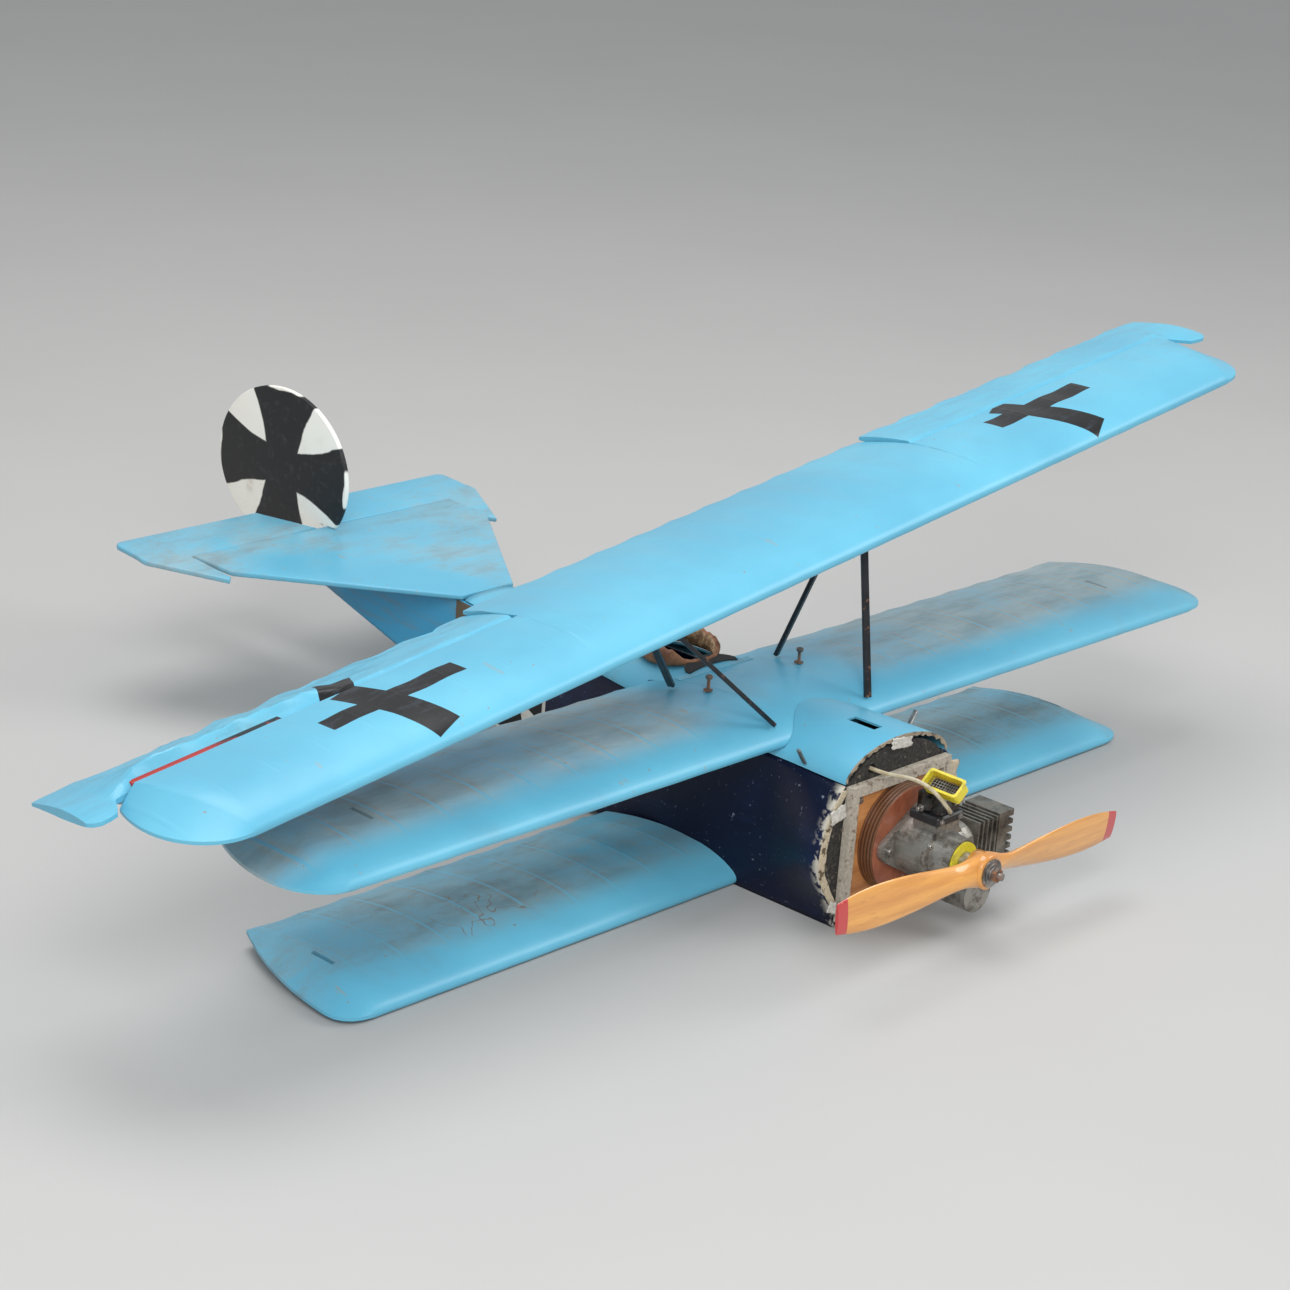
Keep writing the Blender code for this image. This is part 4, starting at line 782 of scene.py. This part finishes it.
def add_tail():
    look = film("tail_film", 0.46, soot=0.12, seed=14.0, tones=(PALE_DUST, PALE_DARK))
    right = [(0.044, TAIL_ROOT_Y), (TAIL_TIP_X, TAIL_TIP_Y), (TAIL_TIP_X, 0.8175)]
    outline = right + [(-x, y) for x, y in reversed(right)]
    plate = padded_plate("tailplane_skin", outline, look, pose=Matrix.Translation((0, 0, TAIL_Z)))
    stand_in(plate, "tailplane")
    half = [(0.014, ELEVATOR_HINGE_Y), (TAIL_TIP_X + 0.0025, ELEVATOR_HINGE_Y),
            (TAIL_TIP_X + 0.0025, TAIL_TIP_Y - 0.002), (TAIL_TIP_X + 0.010, TAIL_TIP_Y - 0.010)]
    half += arc((HORN_TIP_X - 0.030, 0.840), 0.030, -35, 20, 9)
    half += arc((HORN_TIP_X - 0.014, ELEVATOR_TE_Y - 0.012), 0.012, 10, 90, 9)
    half += [(0.050, ELEVATOR_TE_Y)]
    pivot = Matrix.Translation((0, ELEVATOR_HINGE_Y, TAIL_Z))
    pose = pivot @ Matrix.Rotation(ELEVATOR_LIFT, 4, "X") @ Matrix.Translation((0, -ELEVATOR_HINGE_Y, 0))
    for node, side in (("elevator_left", 1), ("elevator_right", -1)):
        outline = [(side * x, y) for x, y in half]
        stand_in(padded_plate(node + "_skin", outline, look, "elevators", pose), node)
    add_rudder()


def add_rudder():
    """Round rudder, notched where the tailplane and the post stand in its way."""
    (cy, cz), (ry, rz) = RUDDER_CENTRE, RUDDER_SIZE
    notch_top, notch_back = TAIL_Z + TAIL_THICKNESS / 2 + 0.0020, RUDDER_HINGE_Y - 0.0018
    outline, cornered, points = [], False, 144
    for k in range(points):
        a = 2 * math.pi * k / points
        y, z = cy + ry * math.cos(a), cz + rz * math.sin(a)
        if y > notch_back or z > notch_top:
            outline.append((y, z))
        elif not cornered:
            cornered = True
            lift = math.sqrt(1 - ((notch_top - cz) / rz) ** 2)
            drop = math.sqrt(1 - ((notch_back - cy) / ry) ** 2)
            outline += [(cy - ry * lift, notch_top), (notch_back, notch_top), (notch_back, cz - rz * drop)]
    disc = padded_plate("rudder_disc", outline, rudder_paint(), "rudder", upright=True, rim=0.0018)
    stand_in(disc, "rudder")


# ---- fuselage ------------------------------------------------------------------------
def half_width(y):
    if y < TAPER_Y:
        return HALF_WIDTH
    return HALF_WIDTH + (STERN_HALF_WIDTH - HALF_WIDTH) * (y - TAPER_Y) / (STERN_Y - TAPER_Y)


def belly_z(y):
    return max(0.0, y - BELLY_END_Y) * BELLY_RISE


def longeron_z(y):
    share = min(max((y - TAPER_Y) / (TAIL_ROOT_Y - TAPER_Y), 0.0), 1.0)
    return LONGERON_Z + (TAIL_SEAT_Z - LONGERON_Z) * share


def nose_bulge(y, z):
    """How far the round nose stands out beyond the slab sides."""
    fade = min(max((FLARE_END_Y - y) / (FLARE_END_Y - NOSE_Y), 0.0), 1.0)
    round_x = math.sqrt(max(NOSE_RADIUS ** 2 - (z - NOSE_CENTRE_Z) ** 2, 0.0))
    low = math.sin(math.pi / 2 * min(1.0, z / NOSE_CENTRE_Z)) ** 1.2
    target = HALF_WIDTH + (round_x - HALF_WIDTH) * (low if z < NOSE_CENTRE_Z else 1.0)
    return max(0.0, target - HALF_WIDTH) * fade * fade * (3 - 2 * fade)


def deck_z(y, share, top):
    edge = longeron_z(y)
    return edge + (top - edge) * math.sqrt(max(0.0, 1 - share * share)) ** 1.1


def sheet(name, point, u_steps, v_steps, look, towards):
    """A sheeted surface, thickened inwards, standing for the CAD node of that name."""
    bm, _ = grid([[point(u, v) for v in v_steps] for u in u_steps], False)
    bm.normal_update()
    facing = sum((face.normal * face.calc_area() for face in bm.faces), Vector())
    if facing.dot(Vector(towards)) < 0:
        bmesh.ops.reverse_faces(bm, faces=bm.faces)
    piece = show(name + "_skin", finish_mesh(bm, False), look)
    thicken(piece, SKIN)
    stand_in(piece, name)
    return piece


def wing_clearance():
    """The middle wing's root, slightly swollen, for trimming the decks round it."""
    wing = dict(MIDDLE, le=MIDDLE["le"] - 0.0006)
    half = [(0.0655, WING_SEAT_BACK_Y + 0.0006), (0.0660, wing["te"] + 0.001), (0.13, wing["te"] + 0.001)]
    backs = [(-x, back) for x, back in reversed(half)] + half
    return loft([ring(wing, (x, wing["le"]), (x, back), 0.0006, 0.0) for x, back in backs])


def cockpit_outline(grow, count=56):
    return [((COCKPIT_SIZE[0] + grow) * math.cos(2 * math.pi * k / count),
             COCKPIT_Y + (COCKPIT_SIZE[1] + grow) * math.sin(2 * math.pi * k / count)) for k in range(count)]


def deck(name, y_front, y_back, top_front, top_back, look):
    def point(y, share):
        top = top_front + (top_back - top_front) * (y - y_front) / (y_back - y_front)
        wide = half_width(y) + nose_bulge(y, LONGERON_Z)
        return (share * wide, y, deck_z(y, share, top) + DECK_LIFT + 0.0003 * wander(share, y, 9.0))

    shares = [math.sin(math.radians(a)) for a in spread(-90, 90, 41)]
    return sheet(name, point, spread(y_front, y_back, 17), shares, look, (0, 0, 1))


def add_fuselage():
    paint = side_paint()
    step = 0.0005
    ys = spread(NOSE_Y, FLARE_END_Y, 20) + [NOSE_DECK_BACK_Y + step, NOSE_DECK_BACK_Y + 2 * step, TAPER_Y]
    ys += [WING_SEAT_BACK_Y - step, WING_SEAT_BACK_Y + step] + spread(BELLY_END_Y, STERN_Y, 12)
    for side, node in ((1, "side_panel_left"), (-1, "side_panel_right")):
        def point(y, share):
            high = longeron_z(y)
            if NOSE_DECK_BACK_Y + 1.5 * step < y < WING_SEAT_BACK_Y:
                high += SADDLE
            z = belly_z(y) + GAP + (high - belly_z(y) - GAP) * share
            return (side * (half_width(y) + nose_bulge(y, z)), y, z)

        sheet(node, point, ys, spread(0.0, 1.0, 25), paint, (side, 0, 0))
    NODES["belly_panel"].data.materials[0] = paint

    look = film("deck_film", 0.26, soot=0.06, seed=21.0, tones=(PALE_DUST, PALE_DARK))
    nose = deck("nose_deck", NOSE_Y, NOSE_DECK_BACK_Y, DECK_TOP_Z, DECK_TOP_Z, look)
    cut(nose, box_mesh(DECK_SLOT, (-0.0025, -0.109, DECK_TOP_Z)))
    cut(nose, wing_clearance())
    front = WING_SEAT_BACK_Y + 0.002
    cockpit = deck("cockpit_deck", front, COCKPIT_BACK_Y, DECK_TOP_Z, DECK_TOP_Z - 0.002, look)
    hole = [[(x, y, z) for x, y in cockpit_outline(0.0)] for z in (DECK_TOP_Z - 0.05, DECK_TOP_Z + 0.05)]
    cut(cockpit, loft(hole))
    cut(cockpit, wing_clearance())
    deck("rear_deck", COCKPIT_BACK_Y + GAP, TAIL_ROOT_Y - 0.004, DECK_TOP_Z - 0.002, TAIL_Z + 0.002, look)


def lip(outer, thickness):
    """A cross-section of the given thickness under a line of (y, z) points."""
    return outer + [(y, z - thickness) for y, z in reversed(outer)]


def add_dash():
    """Blue fairing that laps down onto the wing, and a black crescent panel ahead of the cockpit opening."""
    chord, front = MIDDLE["te"] - MIDDLE["le"], WING_SEAT_BACK_Y - 0.0035
    place = (front - MIDDLE["le"]) / chord
    seat_z = MIDDLE["z"] + sum(profile(MIDDLE, place)) + MIDDLE["te_rise"] * place
    fairing, panel = [], []
    for x in spread(-0.0640, 0.0640, 40):
        back = max(deck_z(TAPER_Y, x / HALF_WIDTH, DECK_TOP_Z) + DECK_LIFT + 0.0014, seat_z + 0.0010)
        top = [(front, seat_z + 0.0008), (front + 0.004, 0.4 * seat_z + 0.6 * back), (0.1285, back)]
        fairing.append([(x, y, z) for y, z in lip(top, 0.0010)])
    for x in spread(-0.0415, 0.0435, 40):
        deep = 0.0190 * math.sqrt(max(0.0, 1 - (x / 0.0440) ** 2)) + 0.0008
        crown = deck_z(TAPER_Y, x / HALF_WIDTH, DECK_TOP_Z) + DECK_LIFT
        top = [(0.1250, crown + 0.0022), (0.1262 + deep, crown + 0.0044)]
        panel.append([(x, y, z) for y, z in lip(top, 0.0014)])
    show("cockpit_fairing", loft(fairing), film("fairing_film", 0.35, seed=4.0))
    show("cockpit_dash", loft(panel), BLACK_PAINT, smooth=40)


def add_coaming():
    """Padded, stitched cockpit rim that sags a little between its stitches."""
    rings, sides, stations_round = [], 14, 112
    outline = cockpit_outline(0.003, stations_round)
    for k, (x, y) in enumerate(outline):
        z = deck_z(y, x / half_width(y), DECK_TOP_Z) + DECK_LIFT + 0.0077
        ahead, behind = outline[(k + 1) % stations_round], outline[k - 1]
        out = Vector((ahead[1] - behind[1], behind[0] - ahead[0], 0)).normalized()
        radius = 0.0070 * (1 + 0.04 * math.sin(k * math.pi / 2) + 0.12 * wander(x, y, 60.0))
        tall = 1.0 + 0.85 * ease(y, COCKPIT_Y - 0.045, COCKPIT_Y + 0.010)
        radius *= 0.40 + 0.60 * ease(y, COCKPIT_Y - 0.040, COCKPIT_Y - 0.022)
        z += radius * (tall - 1.0) - 0.0075 + radius
        rings.append([Vector((x, y, z + radius * tall * math.sin(a))) + out * radius * math.cos(a)
                      for a in (2 * math.pi * i / sides for i in range(sides))])
    add_dash()
    pad = show("cockpit_rim_pad", finish_mesh(grid(rings, looped=True)[0]), leather(), smooth=60)
    stand_in(pad, "cockpit_coaming")


# ---- nose and engine -------------------------------------------------------------------
def ragged_patch(name, centre, size, look, seed, tilt):
    """A torn scrap of tape, puckered, lying on a plane across the nose."""
    nx, nz = 14, 9
    rows = []
    for i in range(nx + 1):
        row = []
        for j in range(nz + 1):
            u, v = i / nx - 0.5, j / nz - 0.5
            wobble = 1 + 0.22 * wander(u, v, 5.0, seed) if abs(u) > 0.45 or abs(v) > 0.42 else 1.0
            lift = 0.0012 + 0.0022 * abs(wander(u, v, 4.0, seed + 4.0))
            x, z = u * size[0] * wobble, v * size[1] * wobble
            row.append(Vector(centre) + Vector((x * math.cos(tilt) - z * math.sin(tilt), -lift,
                                                x * math.sin(tilt) + z * math.cos(tilt))))
        rows.append(row)
    thicken(show(name, finish_mesh(grid(rows, False)[0]), look, smooth=60), 0.0005)


def edge_strip(name, side, z_low, z_high, width, y_front, look):
    """A thin strip of ply edging that follows the round nose."""
    outer, inner = [], []
    for z in spread(z_low, z_high, 30):
        x = HALF_WIDTH + nose_bulge(NOSE_Y, z)
        ragged = width * (1 + 0.25 * wander(z, 0.0, 60.0, 3.0))
        outer.append((side * (x - 0.0003), z))
        inner.append((side * (x - ragged), z))
    rings = [[(x, y, z) for x, z in outer + inner[::-1]] for y in (y_front, y_front + 0.0016)]
    show(name, loft(rings), look, smooth=50)


def add_arch(look):
    """Torn sheeting edge that stands a little proud round the arch of the nose deck."""
    wide = half_width(NOSE_Y) + nose_bulge(NOSE_Y, LONGERON_Z)
    rings = []
    for share in (math.sin(math.radians(a)) for a in spread(-84, 84, 90)):
        x, z = share * wide, deck_z(NOSE_Y, share, DECK_TOP_Z) + DECK_LIFT
        inward = (Vector((0, 0, NOSE_CENTRE_Z)) - Vector((x, 0, z))).normalized()
        torn = 0.0042 + 0.0030 * wander(share, 0.0, 16.0, 8.0) + 0.0018 * wander(share, 0.0, 60.0, 1.0)
        proud = 0.0016 + 0.0010 * wander(share, 0.0, 34.0, 5.0)
        edge, root = Vector((x, 0, z)) + inward * 0.0002, Vector((x, 0, z)) + inward * torn
        rings.append([(edge.x, NOSE_Y - proud, edge.z), (edge.x, NOSE_Y, edge.z),
                      (root.x, NOSE_Y, root.z), (root.x, NOSE_Y - proud * 0.7, root.z)])
    show("nose_arch_edge", loft(rings), look, smooth=50)


def bolt_head(radius, height, start):
    """Socket-head screw with a rounded rim and a washer, facing forwards."""
    socket = radius * 0.5
    return turned([(0.0, radius * 1.45), (0.0007, radius * 1.45), (0.0007, radius), (height * 0.85, radius),
                   (height, radius * 0.88), (height, socket), (height * 0.45, socket * 0.95)],
                  start, (0, -1, 0), 20)


def bolt_circle(radius, y, degrees):
    """Places round the engine's shaft line."""
    angles = [math.radians(a) for a in degrees]
    return [(radius * math.cos(a), y, HUB.z + radius * math.sin(a)) for a in angles]


def add_nose():
    cream = weathered("cream_edge", CREAM, (0.12, 0.085, 0.05), 0.40, 60.0)
    for side, name in ((-1, "nose_edge_right"), (1, "nose_edge_left")):
        edge_strip(name, side, 0.022, 0.168, 0.0105, NOSE_Y - 0.0019, cream)
    add_arch(weathered("arch_edge", (0.40, 0.33, 0.24), (0.10, 0.08, 0.06), 0.55, 75.0))
    ragged_patch("tape_top", (0.003, -0.1588, 0.2035), (0.036, 0.013), TAPE, 1.0, -0.10)
    ragged_patch("tape_left", (-0.102, -0.1612, 0.143), (0.026, 0.018), TAPE, 2.0, 0.25)
    ragged_patch("tape_right", (0.100, -0.1612, 0.147), (0.018, 0.026), cream, 3.0, -0.3)
    ragged_patch("tape_low", (-0.094, -0.1612, 0.028), (0.022, 0.014), TAPE, 5.0, -0.4)
    show("firewall_screws", joined([bolt_head(0.0028, 0.0022, (x, FIREWALL_FRONT_Y, z))
                                    for x in (-0.067, 0.067) for z in (0.030, 0.152)]), STEEL)


def add_engine():
    """The screws and fittings that the castings carry."""
    places = bolt_circle(0.046, RING_FRONT_Y - 0.0073, (180, 60, -60))
    show("backplate_bolts", joined([bolt_head(0.0044, 0.0045, place) for place in places]), STEEL)
    places = bolt_circle(0.0325, -0.2355, (30, 150, 210, 270))
    case_bolts = [bolt_head(0.0026, 0.0032, place) for place in places]
    case_bolts += [bolt_head(0.0024, 0.0030, (x, -0.2418, 0.1393)) for x in (-0.0185, 0.0145)]
    show("crankcase_screws", joined(case_bolts), STEEL)
    stub = turned([(0, 0.0042), (0.006, 0.0042), (0.006, 0.0026), (0.012, 0.0026), (0.0125, 0.002)],
                  (-0.0165, -0.214, 0.149), (-1, 0, 0), 20)
    show("carburettor_fittings", joined([bolt_head(0.0019, 0.0022, (-0.0125, -0.2378, 0.1625)), stub]), STEEL)
    add_intake()
    barb = turned([(0, 0.0034), (0.003, 0.0034), (0.003, 0.0029), (0.0085, 0.0029), (0.0095, 0.0034),
                   (0.0115, 0.0027)], (-0.011, -0.2378, 0.151), (0, -1, 0.02), 20)
    show("fuel_barb", barb, CARB)


def add_intake():
    """Moulded intake cover: a leaning open tray with a rolled lip and a dirty wire gauze over its floor."""
    pose = Matrix.Translation(INTAKE_MOUTH) @ Matrix.Rotation(math.radians(-39), 4, "Y")
    rings = [[(x, y, z) for x, y in rounded_box(0.0105 + grow, 0.0232 + grow, 0.0035)] for grow, z in (
        (0.0, -0.0080), (0.0004, -0.0074), (0.0008, 0.0062), (0.0020, 0.0068), (0.0021, 0.0080),
        (-0.0010, 0.0081), (-0.0012, 0.0068), (-0.0014, -0.0066))]
    stand_in(show("intake_tray", loft(rings), YELLOW, pose=pose), "intake_box")
    wires = [((-0.0091, y, 0.0030 * abs(y) / 0.02 - 0.0015), (1, 0, 0), 0.0182)
             for y in spread(-0.0205, 0.0205, 13)]
    wires += [((x, -0.0214, -0.0004), (0, 1, 0), 0.0428) for x in spread(-0.0070, 0.0070, 5)]
    gauze = joined([turned([(0.0, WIRE), (length, WIRE)], start, axis, 6) for start, axis, length in wires])
    show("intake_gauze", gauze, STEEL, pose=pose)
    show("intake_floor", box_mesh((0.0186, 0.0440, 0.0006), (0, 0, -0.0062), 0.0002), scorched(), pose=pose)


def rounded_box(half_x, half_y, corner):
    """Outline of a rectangle with rounded corners."""
    points = []
    for sx, sy, start in ((1, 1, 0), (-1, 1, 90), (-1, -1, 180), (1, -1, 270)):
        points += arc((sx * (half_x - corner), sy * (half_y - corner)), corner, start, start + 90, 6)
    return points


def blade_ring(r):
    """Propeller section at signed radius r; the hub is its thick middle."""
    reach = abs(r) / PROP_RADIUS
    side = 1 if r >= 0 else -1
    neck = math.exp(-(reach / 0.10) ** 2)
    chord = 0.024 + 0.024 * math.sin(math.pi * min(reach / 0.72, 1.0) / 2) ** 2
    chord = chord * (1 - 0.30 * max(0.0, (reach - 0.72) / 0.28) ** 2) + 0.018 * neck
    depth = (0.0040 + 0.0085 * (1 - reach)) * (1 - neck) + PROP_HUB_DEPTH * neck
    pitch = math.atan2(0.152, 2 * math.pi * max(abs(r), 0.045)) * (1 - neck)
    points = []
    for k in range(28):
        a = 2 * math.pi * k / 28
        across, out = chord / 2 * math.cos(a), depth / 2 * math.sin(a)
        y = -across * math.sin(pitch) + out * math.cos(pitch)
        z = across * math.cos(pitch) + out * math.sin(pitch)
        points.append((r, y, side * z))
    return points if side > 0 else points[:1] + points[:0:-1]


def add_propeller():
    """Carved wooden propeller with a round hub boss and a cone washer."""
    reach = spread(0.0, PROP_RADIUS - 0.002, 46)
    rings = [blade_ring(-r) for r in reversed(reach[1:])] + [blade_ring(r) for r in reach]
    pose = Matrix.Translation(HUB) @ Matrix.Rotation(-PROP_REST, 4, "Y")
    varnish, half = prop_paint(), PROP_HUB_DEPTH / 2
    blades = show("propeller_blades", loft(rings), varnish, "propeller_shaft", pose, 50)
    boss = turned([(0.0, 0.0190), (0.0012, 0.0203), (2 * half - 0.0012, 0.0203), (2 * half, 0.0190)],
                  (0, half, 0), (0, -1, 0), 56)
    show("propeller_boss", boss, varnish, "propeller_shaft", pose, 50)
    stand_in(blades, "propeller")
    washer = turned([(0.0026, 0.0125), (0.0034, 0.0125), (0.0040, 0.0118), (0.0040, 0.0092), (0.0062, 0.0090),
                     (0.0062, 0.0046)], (HUB.x, HUB.y - half, HUB.z), (0, -1, 0), 40)
    show("prop_cone_washer", washer, STEEL, "propeller_shaft")


def add_wing_bolts():
    """Rusty hold-down bolts with a washer and a cheese head on the bare thread."""
    thread = [(-0.0300, 0.0018)]
    for k in range(16):
        thread += [(0.0010 + 0.0008 * k, 0.0021), (0.0014 + 0.0008 * k, 0.0017)]
    head = [(0.0138, 0.0040), (0.0150, 0.0042), (0.0170, 0.0042), (0.0176, 0.0036), (0.0176, 0.0013),
            (0.0166, 0.0011)]
    for side, node in ((1, "wing_bolt_left"), (-1, "wing_bolt_right")):
        spot = Vector((side * BOLT_X, BOLT_Y, BOLT_HEAD_Z))
        parts = [turned(thread + head, spot, (0, 0, 1), 20),
                 turned([(-0.0006, 0.0056), (0.0004, 0.0056), (0.0006, 0.0050)], spot, (0, 0, 1), 28)]
        stand_in(show(node + "_fitting", joined(parts), RUSTY, smooth=25), node)


def finish_plain_nodes():
    """The nodes that are shown as they are in CAD get their materials."""
    struts = [f"cabane_strut_{end}_{side}" for end in ("front", "rear") for side in ("left", "right")]
    servos = [name + "_servo" for name in ("elevator", "rudder", "throttle")]
    frame_paint = weathered("weathered_frame", (0.50, 0.45, 0.37), (0.22, 0.16, 0.11), 0.42, 130.0)
    firewall_ply = wood("firewall_ply", (0.60, 0.27, 0.09), (0.36, 0.13, 0.035), (0.12, 1.0, 1.0), 0.45,
                        0.25, 0.25, 0.3)
    for look, nodes in (
            (BLACK_METAL, struts + ["rudder_post"]),
            (BLACK_PLASTIC, servos + ["battery_pack", "receiver", "carburettor_insulator", "spark_plug"]),
            (WHITE_PLASTIC, [servo + "_arm" for servo in servos] + ["fuel_tank"]),
            (STEEL, ["cowl_hook_left", "cowl_hook_right", "throttle_lever", "crankshaft", "prop_washer"]),
            (CAST, ["engine_backplate", "crankcase", "wing_joiner_tube"]),
            (FINS, ["cylinder_barrel", "cylinder_head"]), (YELLOW, ["front_cover", "intake_box"]),
            (PLY, ["servo_tray", "cockpit_former", "tail_post"]), (CARB, ["carburettor"]),
            (RUSTY, ["prop_nut"]), (clear_hose(), ["fuel_line"]), (scorched(), ["front_former"]),
            (frame_paint, ["firewall_frame"]), (firewall_ply, ["firewall_plate"]),
            (ring_wood(), ["mount_ring"])):
        for node in nodes:
            NODES[node].data.materials[0] = look


# ---- camera, floor and light --------------------------------------------------------------
def add_studio():
    floor_mesh = bpy.data.meshes.new("floor")
    size = 30.0
    floor_mesh.from_pydata([(-size, -size, 0), (size, -size, 0), (size, size, 0), (-size, size, 0)], [],
                           [(0, 1, 2, 3)])
    floor_mesh.materials.append(floor_paint())
    floor = bpy.data.objects.new("floor", floor_mesh)
    floor.location.z = min(0.0, cad_box[0].z) - 0.0002
    link = bpy.context.scene.collection.objects.link
    link(floor)

    lens = bpy.data.cameras.new("camera")
    lens.lens, lens.sensor_width, lens.clip_end = FOCAL_LENGTH, 36.0, 100.0
    camera = bpy.data.objects.new("camera", lens)
    back = CAMERA_RIGHT.cross(CAMERA_UP).normalized()
    turn = Matrix((CAMERA_RIGHT, CAMERA_UP, back)).transposed().to_4x4()
    camera.matrix_world = Matrix.Translation(CAMERA_PLACE) @ turn
    link(camera)
    bpy.context.scene.camera = camera

    for name, place, target, size, power in (("key", (-3.0, -2.7, 3.0), (0.0, 0.0, 0.1), 2.6, 150.0),
                                             ("fill", (2.8, -2.2, 3.0), (0.0, 0.0, 0.1), 2.4, 60.0),
                                             ("top", (0.0, 1.0, 4.2), (0.0, 0.2, 0.0), 3.0, 90.0)):
        light = bpy.data.lights.new(name, "AREA")
        light.shape, light.size, light.energy = "DISK", size, power
        lamp = bpy.data.objects.new(name, light)
        lamp.location = place
        lamp.rotation_euler = (Vector(target) - Vector(place)).to_track_quat("-Z", "Y").to_euler()
        link(lamp)

    world = bpy.data.worlds.new("studio")
    world.use_nodes = True
    sky = world.node_tree.nodes["Background"].inputs
    sky["Color"].default_value, sky["Strength"].default_value = (0.95, 0.97, 1.0, 1.0), 0.52
    bpy.context.scene.world = world
    bpy.context.scene.view_settings.view_transform = "Standard"


add_studio()
add_wings()
add_ailerons()
add_tail()
add_fuselage()
add_coaming()
add_nose()
add_engine()
add_propeller()
add_wing_bolts()
finish_plain_nodes()
